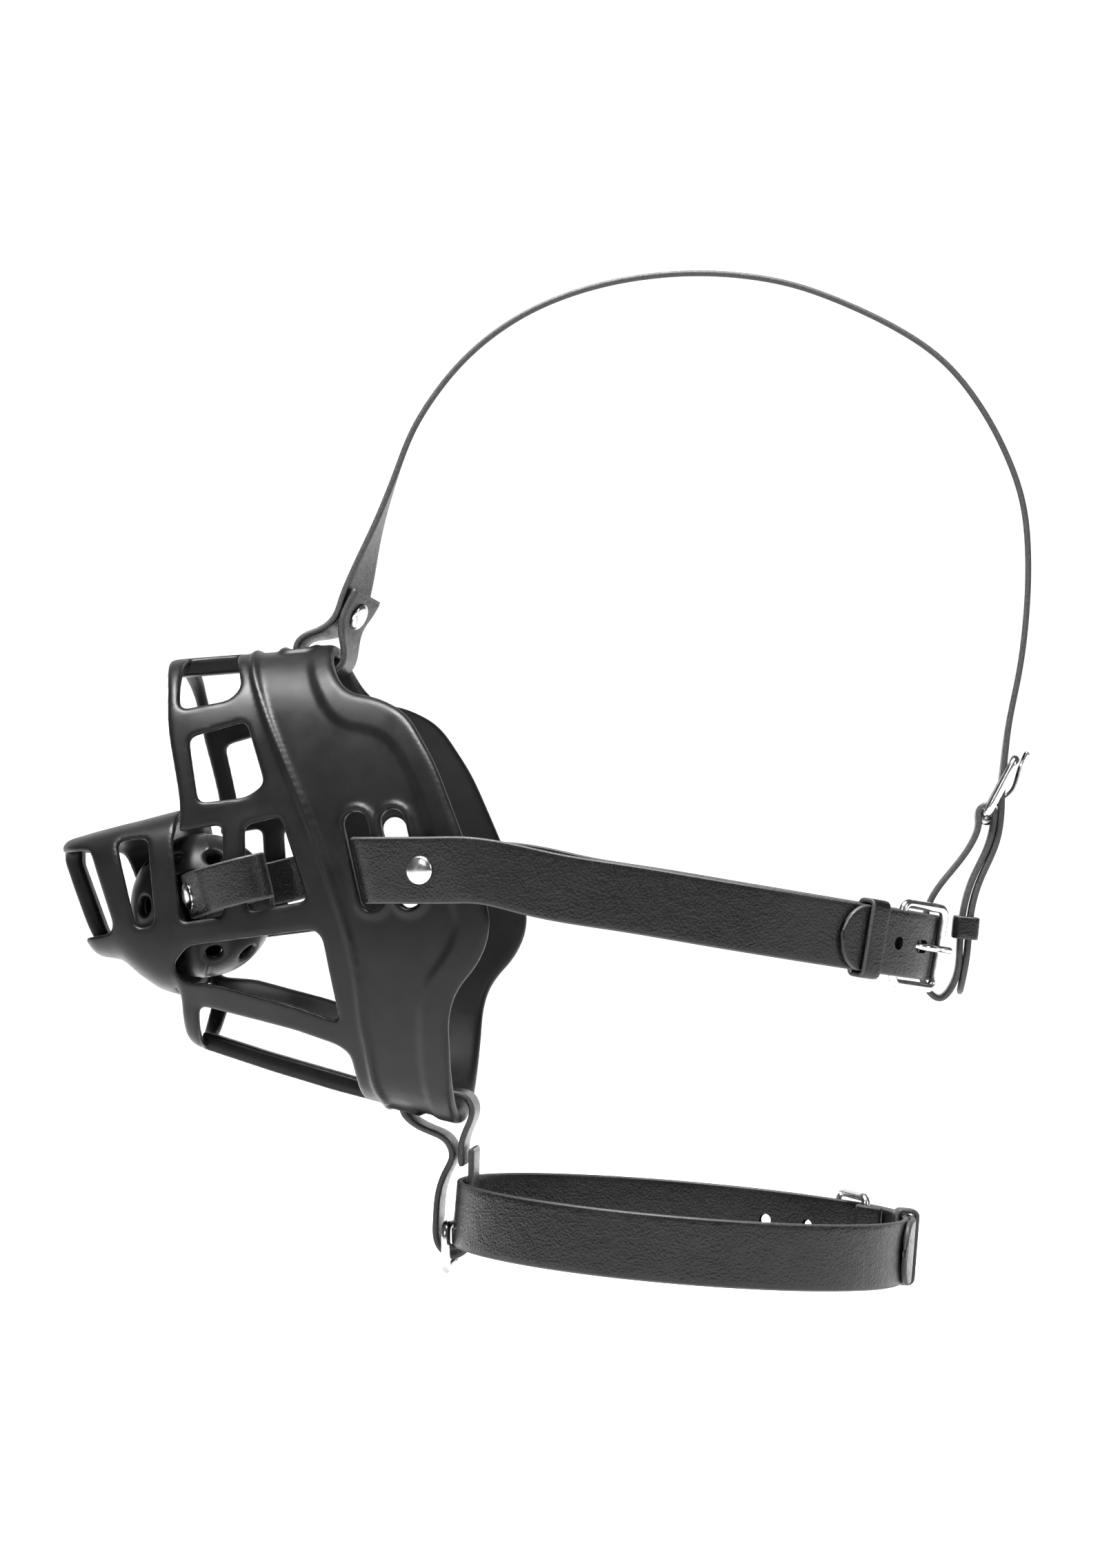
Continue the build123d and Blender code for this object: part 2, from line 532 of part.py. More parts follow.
def make_collar_strap():
    """Neck strap: buckle fold at the back right, tongue lapped over the outside to a tip at the back left."""
    fold = fold_points(COLLAR_RADIUS, COLLAR_HEEL)
    points = list(reversed(fold)) + arc_points(COLLAR_RADIUS, COLLAR_HEEL - 6, -200, 24)
    points += tongue_points(COLLAR_RADIUS, COLLAR_HEEL, COLLAR_TIP)
    cutters = blunt_tip(COLLAR_RADIUS + LAYER, COLLAR_TIP) + [fold_slot(COLLAR_RADIUS, COLLAR_HEEL)]
    cutters.append(hole(COLLAR_RADIUS, COLLAR_HEEL + 4.6, PRONG_HOLE_LENGTH, 0))
    for angle in (COLLAR_HEEL - 11, COLLAR_HEEL + 24, COLLAR_HEEL + 37):
        cutters.append(hole(COLLAR_RADIUS, angle, HOLE_WIDTH, 4 if angle > COLLAR_HEEL else -STRAP / 2))
    return collar_level(strip(points, plane=Plane.XY) - cutters)


# ---------------------------------------------------------------- output
def main():
    os.makedirs("parts", exist_ok=True)
    ball_rivets = make_ball_rivets()
    side_rivets = make_side_rivets()
    crown_rivet = make_crown_rivet()
    head_frame, head_prong = [head_level(Pos(HEAD_CENTRE, 0, 0) * piece)
                              for piece in round_buckle(HEAD_RADIUS, HEAD_HEEL)]
    collar_frame, collar_prong = [collar_level(piece) for piece in round_buckle(COLLAR_RADIUS, COLLAR_HEEL)]
    save("basket", make_basket())
    save("mouth_ball", make_ball())
    save("ball_strap", make_ball_strap() - [piece for group in ball_rivets for piece in group])
    save("ball_rivet_caps", *[cap for cap, _, _ in ball_rivets])
    save("ball_rivet_backs", *[back for _, back, _ in ball_rivets])
    save("buckle_strap", make_buckle_strap() - side_rivets[0])
    save("tongue_strap", make_tongue_strap() - side_rivets[1])
    save("side_rivet_caps", *[cap for cap, _, _ in side_rivets])
    save("side_rivet_backs", *[back for _, back, _ in side_rivets])
    save("head_buckle_frame", head_frame)
    save("head_buckle_prong", head_prong)
    save("head_keeper", head_level(Pos(HEAD_CENTRE, 0, 0) * round_keeper(HEAD_RADIUS, HEAD_KEEPER)))
    save("crown_strap", make_crown_strap() - crown_rivet)
    save("crown_rivet_cap", crown_rivet[0])
    save("crown_rivet_back", crown_rivet[1])
    save("crown_loop", make_crown_loop())
    save("crown_buckle_frame", buckle_frame(CROWN_HEEL, CROWN_FRONT_BAR, False))
    save("crown_buckle_prong", prong(CROWN_HEEL, CROWN_KNEE, CROWN_TIP, False))
    save("crown_keeper", make_crown_keeper())
    save("chin_link", strip(LINK_PATH))
    save("chin_ring", make_chin_ring())
    save("collar_strap", make_collar_strap())
    save("collar_buckle_frame", collar_frame)
    save("collar_buckle_prong", collar_prong)
    save("collar_keeper", collar_level(round_keeper(COLLAR_RADIUS, COLLAR_KEEPER)))


main()
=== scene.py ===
"""Visual model of the basket muzzle: rubber basket, mouth ball, leather harness and collar, nickel hardware.

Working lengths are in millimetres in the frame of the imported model; meshes are written in metres.
"""
import math

import bpy
import numpy as np
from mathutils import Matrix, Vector


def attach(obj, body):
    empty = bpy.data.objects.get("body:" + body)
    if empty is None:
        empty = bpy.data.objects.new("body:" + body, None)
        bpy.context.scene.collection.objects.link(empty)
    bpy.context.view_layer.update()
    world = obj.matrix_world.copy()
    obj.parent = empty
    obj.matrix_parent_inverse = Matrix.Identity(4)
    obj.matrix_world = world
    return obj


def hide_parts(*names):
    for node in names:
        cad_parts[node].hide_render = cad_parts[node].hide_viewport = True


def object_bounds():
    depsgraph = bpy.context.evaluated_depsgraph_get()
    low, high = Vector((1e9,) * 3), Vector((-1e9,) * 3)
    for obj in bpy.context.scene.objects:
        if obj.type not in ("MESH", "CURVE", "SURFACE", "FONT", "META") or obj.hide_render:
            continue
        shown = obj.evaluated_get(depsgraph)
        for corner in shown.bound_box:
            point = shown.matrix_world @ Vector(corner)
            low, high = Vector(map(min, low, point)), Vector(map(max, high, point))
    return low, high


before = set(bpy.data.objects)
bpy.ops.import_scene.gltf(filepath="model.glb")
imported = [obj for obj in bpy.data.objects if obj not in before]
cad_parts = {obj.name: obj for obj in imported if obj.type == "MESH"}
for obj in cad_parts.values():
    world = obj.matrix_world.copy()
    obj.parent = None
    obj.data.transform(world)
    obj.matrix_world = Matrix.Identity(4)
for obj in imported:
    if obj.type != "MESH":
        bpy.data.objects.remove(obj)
CAD_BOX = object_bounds()
MM = 0.001

# ---------------------------------------------------------------- dimensions shared with the CAD model
WALL = 3.3
WIDTH = 20.0
STRAP = 1.8
LAYER = 2.1
WIRE = 1.4
FOLD = STRAP / 2 + WIRE + 0.15
BALL_CENTRE = (-82.5, 0.0, -6.7)
BALL_RADIUS = 22.5
BALL_WALL = 3.0
BALL_TILT = -14.0
BALL_LEVEL = (-83.0, -4.0)
HEAD_TILT, HEAD_PIVOT, HEAD_RADIUS, HEAD_CENTRE = 9.5, (5.0, 4.0), 69.1, 80.0
HEAD_HEEL, HEAD_TIP, HEAD_KEEPER = 58.0, 34.0, 43.0
COLLAR_TILT, COLLAR_FRONT, COLLAR_RADIUS = 4.7, (-1.6, -101.6), 69.3
COLLAR_HEEL, COLLAR_TIP, COLLAR_KEEPER = 122.0, 76.0, 100.0
FRAME_TURN = 16.0
SLOT_REACH, SLOT_RADIUS = 11.35, 3.65
END_SLOTS = ((-54.5, -47.5, 1), (-21.5, -15.0, -1))
END_SLOT_HALF = 11.2
BALL_HOLE_RADIUS = 2.6
BALL_HOLE_ROWS = (-42.0, 0.0, 42.0)
RING_INNER = (22.0, 12.2)

BODY = np.array([
    (-96.0, 70.0, -50.0, 40.0, 4.0), (-80.0, 71.2, -52.0, 41.5, 2.0), (-60.0, 72.6, -58.5, 42.5, -4.0),
    (-40.0, 74.0, -64.5, 48.0, -4.0), (-20.0, 75.0, -69.5, 53.7, -4.0), (0.0, 76.0, -74.0, 60.5, -4.0),
    (18.0, 77.0, -78.0, 66.6, -4.0)])
SNOUT = np.array([
    (-125.5, 13.0, 6.0, 9.0, 9.5), (-122.0, 14.2, -3.0, 20.0, 6.0), (-118.0, 15.2, -14.0, 27.0, 1.0),
    (-113.0, 16.6, -22.5, 31.5, -3.0), (-104.0, 18.8, -23.8, 35.8, -2.5), (-98.0, 20.2, -29.0, 37.4, -4.0),
    (-92.0, 21.8, -33.0, 38.7, -5.0), (-75.0, 26.0, -38.0, 41.8, -6.0), (-52.0, 31.0, -42.0, 44.6, -6.0)])
RIM = [(60, 90), (-39.5, 90), (-39.5, 71.5), (-36.0, 63.0), (-31.5, 58.3), (-22.0, 56.6), (-12.5, 51.5),
       (-3.0, 36.0), (6.0, 14.0), (14.2, -7.5), (14.0, -16.0), (10.5, -24.0), (3.5, -32.0), (0.8, -40.0),
       (0.5, -56.0), (0.0, -90.0), (60, -90)]
BORDER = [(70, 100), (-47.0, 100), (-46.0, 71.9), (-43.8, 62.7), (-38.9, 53.3), (-33.1, 48.2), (-24.0, 46.4),
          (-19.2, 44.4), (-14.2, 39.2), (-11.0, 32.8), (-7.8, 25.7), (-5.1, 17.4), (4.0, -10.3), (3.4, -15.4),
          (0.1, -22.0), (-5.4, -28.6), (-7.8, -35.4), (-8.7, -45.4), (-8.6, -58.9), (-8.0, -68.7), (-8, -100),
          (70, -100)]
RIDGE = [(-68, 95), (-64.1, 68.9), (-57.5, 51.4), (-53.1, 42.0), (-45.1, 24.9), (-38.0, 7.4), (-32.5, -7.7),
         (-28.7, -21.0), (-26.9, -32.2), (-26.5, -42.2), (-24.9, -52.5), (-24.6, -62.9), (-22.2, -68.5),
         (-21.5, -95)]
FRONT = [(-140.0, 100.0), (-92.5, 100.0), (-92.5, 71.5), (-91.0, 66.5), (-89.3, 60.0), (-88.0, 48.0),
         (-85.0, 34.5), (-83.4, 26.6), (-83.0, 20.0), (-83.0, -32.0), (-84.0, -36.0), (-84.4, -43.0),
         (-84.4, -47.5), (-83.0, -50.6), (-80.5, -53.0), (-80.5, -100.0), (-140.0, -100.0)]
WINDOWS = {
    "bridge_lower": [(-81.0, 44.6), (-77.3, 24.6), (-62.5, 26.4), (-57.0, 30.4), (-63.6, 49.6)],
    "snout_front": [(-103.6, 13.0), (-96.8, -13.6), (-90.8, -12.4), (-93.6, 13.8)],
    "snout_rear": [(-85.0, 15.2), (-69.8, 18.0), (-68.8, -9.6), (-82.6, -11.8)],
    "cheek": [(-62.8, 17.8), (-51.6, 20.3), (-42.8, -5.0), (-61.6, -8.4)],
    "jaw_upper": [(-80.6, -18.8), (-41.0, -13.8), (-38.2, -16.4), (-33.6, -41.6), (-48.2, -36.8),
                  (-71.4, -30.6), (-82.0, -29.8), (-85.6, -25.0)],
}
SPLIT_WINDOWS = {
    "bridge_upper": [(-84.6, 53.4), (-85.6, 62.0), (-86.3, 90.0), (-71.0, 90.0), (-71.0, 72.0), (-68.1, 66.0),
                     (-66.2, 60.5), (-69.5, 56.4)],
    "jaw_lower": [(-78.4, -37.2), (-48.2, -44.6), (-35.0, -49.0), (-31.2, -52.0), (-30.5, -60.0),
                  (-30.0, -90.0), (-81.0, -90.0), (-80.4, -52.0)],
    "nose": [(-140.0, 8.6), (-113.5, 10.2), (-112.0, 8.6), (-104.4, -12.6), (-105.8, -15.2),
             (-140.0, -20.4)],
}
MIDDLE_BARS = [
    [(-90.0, 70.2), (-69.0, 71.8), (-69.0, 66.4), (-90.0, 64.9)],
    [(-82.0, -51.0), (-60.0, -58.1), (-29.0, -66.9), (-29.0, -61.6), (-60.0, -52.8), (-82.0, -45.9)],
    [(-125.3, 12.4), (-125.1, 6.5), (-121.7, -3.2), (-117.7, -14.2), (-112.9, -22.3), (-107.6, -22.3),
     (-112.5, -14.2), (-116.6, -3.2), (-120.2, 6.5), (-120.2, 12.4)],
]
MIDDLE_BAR_HALF = 4.2
SLOTS = [(-25.0, 7.0), (-13.4, 7.6)]
SLOT_LEAN = 13.3


# ---------------------------------------------------------------- materials
def nodes_of(material):
    material.use_nodes = True
    return material.node_tree.nodes, material.node_tree.links, material.node_tree.nodes["Principled BSDF"]


def noise(nodes, links, coords, scale, detail=3.0, roughness=0.55):
    """Noise texture on the object's own coordinates; scale is per metre."""
    tex = nodes.new("ShaderNodeTexNoise")
    tex.inputs["Scale"].default_value = scale
    tex.inputs["Detail"].default_value = detail
    tex.inputs["Roughness"].default_value = roughness
    links.new(coords, tex.inputs["Vector"])
    return tex.outputs["Fac"]


def spread(nodes, links, value, low, high, start=0.3, end=0.7):
    """Map a texture value to a range."""
    node = nodes.new("ShaderNodeMapRange")
    node.inputs["From Min"].default_value = start
    node.inputs["From Max"].default_value = end
    node.inputs["To Min"].default_value = low
    node.inputs["To Max"].default_value = high
    links.new(value, node.inputs["Value"])
    return node.outputs["Result"]


def tint(nodes, links, value, dark, light):
    """Colour between two tones by a texture value."""
    ramp = nodes.new("ShaderNodeValToRGB")
    ramp.color_ramp.elements[0].position = 0.3
    ramp.color_ramp.elements[1].position = 0.7
    ramp.color_ramp.elements[0].color = (*dark, 1)
    ramp.color_ramp.elements[1].color = (*light, 1)
    links.new(value, ramp.inputs["Fac"])
    return ramp.outputs["Color"]


def bump(nodes, links, height, distance, strength, under=None):
    node = nodes.new("ShaderNodeBump")
    node.inputs["Distance"].default_value = distance
    node.inputs["Strength"].default_value = strength
    links.new(height, node.inputs["Height"])
    if under:
        links.new(under, node.inputs["Normal"])
    return node.outputs["Normal"]


def rubber(name, dark, light, rough_low, rough_high, grain):
    """Satin moulded rubber: faint mottling, fine mould grain and a slow unevenness."""
    material = bpy.data.materials.new(name)
    nodes, links, shader = nodes_of(material)
    coords = nodes.new("ShaderNodeTexCoord").outputs["Object"]
    mottle = noise(nodes, links, coords, 90.0, 4.0)
    links.new(tint(nodes, links, mottle, dark, light), shader.inputs["Base Color"])
    links.new(spread(nodes, links, noise(nodes, links, coords, 160.0, 4.0), rough_low, rough_high),
              shader.inputs["Roughness"])
    slow = bump(nodes, links, noise(nodes, links, coords, 45.0, 2.0), 0.0012, 0.18)
    fine = bump(nodes, links, noise(nodes, links, coords, 2600.0, 2.0), 0.00010, grain, slow)
    links.new(fine, shader.inputs["Normal"])
    shader.inputs["Specular IOR Level"].default_value = 0.19
    return material


def leather(name, dark, light, rough_low, rough_high):
    """Fine-grained bonded leather: cells, pores and soft creases."""
    material = bpy.data.materials.new(name)
    nodes, links, shader = nodes_of(material)
    coords = nodes.new("ShaderNodeTexCoord").outputs["Object"]
    mottle = noise(nodes, links, coords, 120.0, 5.0)
    links.new(tint(nodes, links, mottle, dark, light), shader.inputs["Base Color"])
    links.new(spread(nodes, links, noise(nodes, links, coords, 700.0, 4.0), rough_low, rough_high),
              shader.inputs["Roughness"])
    cells = nodes.new("ShaderNodeTexVoronoi")
    cells.feature = "SMOOTH_F1"
    cells.inputs["Scale"].default_value = 1500.0
    cells.inputs["Randomness"].default_value = 1.0
    links.new(coords, cells.inputs["Vector"])
    creases = bump(nodes, links, noise(nodes, links, coords, 170.0, 5.0, 0.6), 0.0010, 0.22)
    grain = bump(nodes, links, cells.outputs["Distance"], 0.00030, 0.45, creases)
    links.new(grain, shader.inputs["Normal"])
    shader.inputs["Specular IOR Level"].default_value = 0.30
    return material


def cut_edge(name):
    """Raw edge of the leather: compressed fibre, lighter and duller than the face."""
    material = bpy.data.materials.new(name)
    nodes, links, shader = nodes_of(material)
    coords = nodes.new("ShaderNodeTexCoord").outputs["Object"]
    fibre = noise(nodes, links, coords, 1400.0, 5.0)
    colour = tint(nodes, links, fibre, (0.012, 0.012, 0.013), (0.04, 0.04, 0.042))
    links.new(colour, shader.inputs["Base Color"])
    links.new(spread(nodes, links, fibre, 0.45, 0.7), shader.inputs["Roughness"])
    links.new(bump(nodes, links, fibre, 0.0003, 0.3), shader.inputs["Normal"])
    return material


def nickel(name):
    """Polished plate with faint smears and handling marks."""
    material = bpy.data.materials.new(name)
    nodes, links, shader = nodes_of(material)
    coords = nodes.new("ShaderNodeTexCoord").outputs["Object"]
    smear = noise(nodes, links, coords, 350.0, 5.0)
    colour = tint(nodes, links, smear, (0.60, 0.60, 0.61), (0.80, 0.80, 0.81))
    links.new(colour, shader.inputs["Base Color"])
    links.new(spread(nodes, links, smear, 0.12, 0.26), shader.inputs["Roughness"])
    marks = noise(nodes, links, coords, 900.0, 3.0)
    links.new(bump(nodes, links, marks, 0.00012, 0.12), shader.inputs["Normal"])
    shader.inputs["Metallic"].default_value = 1.0
    return material


BLACK_RUBBER = ((0.0036, 0.0036, 0.0039), (0.0060, 0.0060, 0.0064))
BLACK_BALL = ((0.007, 0.007, 0.0075), (0.012, 0.012, 0.013))
BLACK_LEATHER = ((0.0032, 0.0032, 0.0034), (0.0060, 0.0060, 0.0064))
RUBBER = rubber("moulded rubber", *BLACK_RUBBER, 0.35, 0.46, 0.10)
BALL_RUBBER = rubber("ball rubber", *BLACK_BALL, 0.28, 0.40, 0.07)
LEATHER = leather("strap leather", *BLACK_LEATHER, 0.27, 0.42)
EDGE = cut_edge("strap cut edge")
NICKEL = nickel("polished nickel")


# ---------------------------------------------------------------- mesh output
def make_object(name, verts, faces, material, smooth=True):
    """Mesh object from millimetre vertices; material is one material or a list."""
    mesh = bpy.data.meshes.new(name)
    places = (np.asarray(verts, dtype=float) * MM).tolist()
    mesh.from_pydata(places, [], [list(map(int, face)) for face in faces])
    mesh.validate()
    mesh.update()
    piece = bpy.data.objects.new(name, mesh)
    bpy.context.scene.collection.objects.link(piece)
    for item in material if isinstance(material, list) else [material]:
        mesh.materials.append(item)
    mesh.polygons.foreach_set("use_smooth", [smooth] * len(mesh.polygons))
    return piece


def merged(parts):
    """Join (verts, faces) pairs."""
    verts, faces, count = [], [], 0
    for part_verts, part_faces in parts:
        verts.append(np.asarray(part_verts, dtype=float))
        faces += [[index + count for index in face] for face in part_faces]
        count += len(part_verts)
    return np.vstack(verts), faces


def stand_for(piece, body, slot, *replaced):
    """Ride on a body and hide the CAD nodes."""
    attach(piece, body)
    if replaced:
        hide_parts(*replaced)
    return piece


# ---------------------------------------------------------------- distance fields
def smooth_min(a, b, k):
    h = np.clip(0.5 + 0.5 * (b - a) / k, 0, 1)
    return b + (a - b) * h - k * h * (1 - h)


def smooth_max(a, b, k):
    return -smooth_min(-a, -b, k)


def rounded(points, radius, steps=5):
    """Polygon with its corners turned to short arcs."""
    result = []
    count = len(points)
    for index, corner in enumerate(points):
        corner = np.array(corner, float)
        before = np.array(points[index - 1], float) - corner
        after = np.array(points[(index + 1) % count], float) - corner
        reach_before = min(radius, 0.45 * np.linalg.norm(before))
        reach_after = min(radius, 0.45 * np.linalg.norm(after))
        start = corner + before / np.linalg.norm(before) * reach_before
        end = corner + after / np.linalg.norm(after) * reach_after
        for step in range(steps + 1):
            t = step / steps
            result.append((1 - t) ** 2 * start + 2 * t * (1 - t) * corner + t * t * end)
    return result


def polygon_distance(px, pz, points):
    """Signed distance to a closed outline, negative inside."""
    best = np.full(px.shape, 1e9)
    inside = np.zeros(px.shape, bool)
    count = len(points)
    for index in range(count):
        ax, az = points[index]
        bx, bz = points[(index + 1) % count]
        best = np.minimum(best, segment_distance(px, pz, (ax, az), (bx, bz)))
        if az != bz:
            crosses = (pz > min(az, bz)) & (pz <= max(az, bz))
            inside ^= crosses & (px < (bx - ax) * (pz - az) / (bz - az) + ax)
    return np.where(inside, -best, best)


def segment_distance(px, pz, a, b):
    dx, dz = b[0] - a[0], b[1] - a[1]
    t = np.clip(((px - a[0]) * dx + (pz - a[1]) * dz) / (dx * dx + dz * dz + 1e-12), 0, 1)
    return np.hypot(px - a[0] - t * dx, pz - a[1] - t * dz)


def line_distance(px, pz, points):
    """Distance to an open line."""
    best = np.full(px.shape, 1e9)
    for a, b in zip(points, points[1:]):
        best = np.minimum(best, segment_distance(px, pz, a, b))
    return best


def surface_net(field, origin, cell):
    """Quads round the zero level of a grid of distances, one vertex in each crossed cell."""
    inside = field < 0
    shape = tuple(n - 1 for n in field.shape)
    offsets = [(i, j, k) for i in (0, 1) for j in (0, 1) for k in (0, 1)]

    def corner(offset):
        return inside[tuple(slice(low, low + size) for low, size in zip(offset, shape))]

    total = np.zeros(shape, np.int8)
    for offset in offsets:
        total += corner(offset)
    active = (total > 0) & (total < 8)
    cells = np.argwhere(active)
    number = np.full(shape, -1, np.int64)
    number[active] = np.arange(len(cells))
    values = {o: field[cells[:, 0] + o[0], cells[:, 1] + o[1], cells[:, 2] + o[2]] for o in offsets}
    place = np.zeros((len(cells), 3))
    weight = np.zeros(len(cells))
    for a in offsets:
        for axis in range(3):
            if a[axis]:
                continue
            b = tuple(1 if index == axis else a[index] for index in range(3))
            crossed = (values[a] < 0) != (values[b] < 0)
            t = values[a][crossed] / (values[a][crossed] - values[b][crossed])
            point = np.tile(np.array(a, float), (len(t), 1))
            point[:, axis] += t
            place[crossed] += point
            weight[crossed] += 1
    verts = (cells + place / weight[:, None]) * cell + np.array(origin)
    faces = []
    for axis in range(3):
        u, v = (axis + 1) % 3, (axis + 2) % 3
        low = [slice(None)] * 3
        high = [slice(None)] * 3
        low[axis], high[axis] = slice(0, -1), slice(1, None)
        change = inside[tuple(low)] != inside[tuple(high)]
        spots = np.argwhere(change)
        keep = (spots[:, u] > 0) & (spots[:, v] > 0) & (spots[:, u] < shape[u]) & (spots[:, v] < shape[v])
        spots = spots[keep]
        flip = inside[tuple(low)][spots[:, 0], spots[:, 1], spots[:, 2]]
        quad = []
        for du, dv in ((1, 1), (0, 1), (0, 0), (1, 0)):
            cell_at = spots.copy()
            cell_at[:, u] -= du
            cell_at[:, v] -= dv
            quad.append(number[cell_at[:, 0], cell_at[:, 1], cell_at[:, 2]])
        quad = np.stack(quad, axis=1)
        quad[~flip] = quad[~flip][:, ::-1]
        faces.append(quad)
    return verts, np.vstack(faces)


# ---------------------------------------------------------------- basket
def along(stations, column, xs, window=4.0):
    """A station value along X, softened over a short window."""
    total = np.zeros(xs.shape)
    shifts = np.linspace(-window / 2, window / 2, 9)
    for shift in shifts:
        total += np.interp(xs + shift, stations[:, 0], stations[:, column])
    return total / len(shifts)


def tube_distance(stations, powers, xs, y, z, cell):
    """Distance to a lofted superellipse body, endless in front."""
    top, bottom, half, level = (along(stations, column, xs)[:, None, None] for column in (1, 2, 3, 4))
    rise = z - level
    reach = np.where(rise > 0, top - level, level - bottom)
    power = np.where(rise > 0, powers[0], powers[1])
    value = ((np.abs(y) / half) ** power + (np.abs(rise) / reach) ** power + 1e-9) ** (1 / power) - 1
    slope = np.sqrt(sum(part ** 2 for part in np.gradient(value.astype(np.float32), cell)))
    return value / np.maximum(slope, 0.004)


def make_basket(cell):
    """One moulded shell: soft-edged windows, slots with raised borders, the ridge bead and the rim border."""
    xs = np.arange(-130.0, 19.0, cell)
    ys = (np.arange(int(70 / cell)) + 0.5) * cell
    zs = np.arange(-82.0, 82.0, cell)
    x, y, z = np.meshgrid(xs, ys, zs, indexing="ij")
    flat_x, flat_z = np.meshgrid(xs, zs, indexing="ij")

    def side(values):
        return values[:, None, :]

    body = tube_distance(BODY, (2.5, 2.3), xs, y, z, cell)
    snout = tube_distance(SNOUT, (4.0, 4.0), xs, y, z, cell)
    nose_end = SNOUT[0, 0] - xs[:, None, None]
    front = side(-polygon_distance(flat_x, flat_z, rounded(FRONT, 5.0)))
    outer = smooth_min(smooth_max(body, front, 2.2), smooth_max(snout, nose_end, 3.0), 4.0)
    inner_body = smooth_max(body + WALL, front - 2.0, 1.0)
    inner_snout = smooth_max(snout + WALL, nose_end + WALL, 2.0)
    cavity = smooth_min(inner_body, inner_snout, 2.5)
    border = polygon_distance(flat_x, flat_z, rounded(BORDER, 5.0))
    border_lift = 0.9 * np.clip(0.5 - border / 2.4, 0, 1)
    lifted = outer - side(border_lift)
    ridge = line_distance(flat_x, flat_z, rounded(RIDGE, 8.0)[6:-6])
    lifted = smooth_min(lifted, np.hypot(outer, side(ridge)) - 1.05, 1.1)
    slot_distance = []
    lean = math.radians(SLOT_LEAN)
    along_x, along_z = -SLOT_REACH * math.sin(lean), SLOT_REACH * math.cos(lean)
    for cx, cz in SLOTS:
        ends = [(cx + s * along_x, cz + s * along_z) for s in (-1, 1)]
        slot_distance.append(segment_distance(flat_x, flat_z, *ends) - SLOT_RADIUS)
    for distance in slot_distance:
        lifted = smooth_min(lifted, np.hypot(outer, side(distance - 1.1)) - 1.1, 1.5)
    end_slots = []
    for low, high, sign in END_SLOTS:
        dx = np.abs(x - (low + high) / 2) - (high - low) / 2 + 1.5
        dy = np.abs(y) - END_SLOT_HALF + 1.5
        flat = np.hypot(np.maximum(dx, 0), np.maximum(dy, 0)) + np.minimum(np.maximum(dx, dy), 0) - 1.5
        half_space = -sign * z + 40.0
        end_slots.append(np.maximum(flat, half_space))
        lifted = smooth_min(lifted, np.hypot(outer, np.maximum(flat - 1.2, half_space)) - 1.3, 1.4)
    shell = smooth_max(lifted, -cavity, 1.8)
    rim = polygon_distance(flat_x, flat_z, rounded(RIM, 6.0))
    shell = smooth_max(shell, -side(rim), 2.4)
    for outline in WINDOWS.values():
        shell = smooth_max(shell, -side(polygon_distance(flat_x, flat_z, rounded(outline, 2.6))), 1.7)
    for outline in SPLIT_WINDOWS.values():
        window = side(polygon_distance(flat_x, flat_z, rounded(outline, 2.8)))
        shell = smooth_max(shell, -smooth_max(window, MIDDLE_BAR_HALF - y, 2.0), 1.7)
    for outline in MIDDLE_BARS:
        flat = side(polygon_distance(flat_x, flat_z, rounded(outline, 1.0)))
        bar = smooth_max(flat, y - MIDDLE_BAR_HALF, 1.8)
        shell = smooth_min(shell, smooth_max(bar, outer, 0.8), 1.0)
    for distance in slot_distance:
        shell = smooth_max(shell, -side(distance), 1.4)
    for distance in end_slots:
        shell = smooth_max(shell, -distance, 1.2)
    whole = np.concatenate([shell[:, ::-1], shell], axis=1)
    return surface_net(whole, (xs[0], -ys[-1], zs[0]), cell)


# ---------------------------------------------------------------- ball
def turn_y(point, angle):
    """Turn about +Y."""
    a = math.radians(angle)
    x, y, z = point
    return (x * math.cos(a) + z * math.sin(a), y, -x * math.sin(a) + z * math.cos(a))


def make_ball(cell):
    """Hollow ball with countersunk breathing holes and the slot of its strap."""
    reach = BALL_RADIUS + 2 * cell
    axis = np.arange(-reach, reach + cell, cell)
    x, y, z = np.meshgrid(axis, axis, axis, indexing="ij")
    radius = np.sqrt(x * x + y * y + z * z)
    ball = np.maximum(radius - BALL_RADIUS, BALL_RADIUS - BALL_WALL - radius)
    seam = np.hypot(radius - BALL_RADIUS, y * math.sin(0.3) + x * math.cos(0.3)) - 0.35
    ball = smooth_min(ball, seam, 0.5)
    for latitude in BALL_HOLE_ROWS:
        for turn in range(8):
            angle = math.radians(45.0 * turn + (22.5 if latitude else 0.0))
            if latitude == 0.0 and turn in (2, 6):
                continue
            lat = math.radians(latitude)
            d = (math.cos(lat) * math.cos(angle), math.cos(lat) * math.sin(angle), math.sin(lat))
            dot = x * d[0] + y * d[1] + z * d[2]
            away = np.sqrt(np.maximum(radius ** 2 - dot ** 2, 0))
            ball = smooth_max(ball, -np.maximum(away - BALL_HOLE_RADIUS, -dot), 2.0)
    cos_t, sin_t = math.cos(math.radians(BALL_TILT)), math.sin(math.radians(BALL_TILT))
    dx = x - (BALL_LEVEL[0] - BALL_CENTRE[0])
    dz = z - (BALL_LEVEL[1] - BALL_CENTRE[2])
    lx = dx * cos_t - dz * sin_t
    lz = dx * sin_t + dz * cos_t
    slot = np.maximum(np.abs(lx) - 2.9, np.abs(lz) - 7.5)
    ball = smooth_max(ball, -slot, 0.8)
    verts, faces = surface_net(ball, (axis[0],) * 3, cell)
    return verts + np.array(BALL_CENTRE), faces


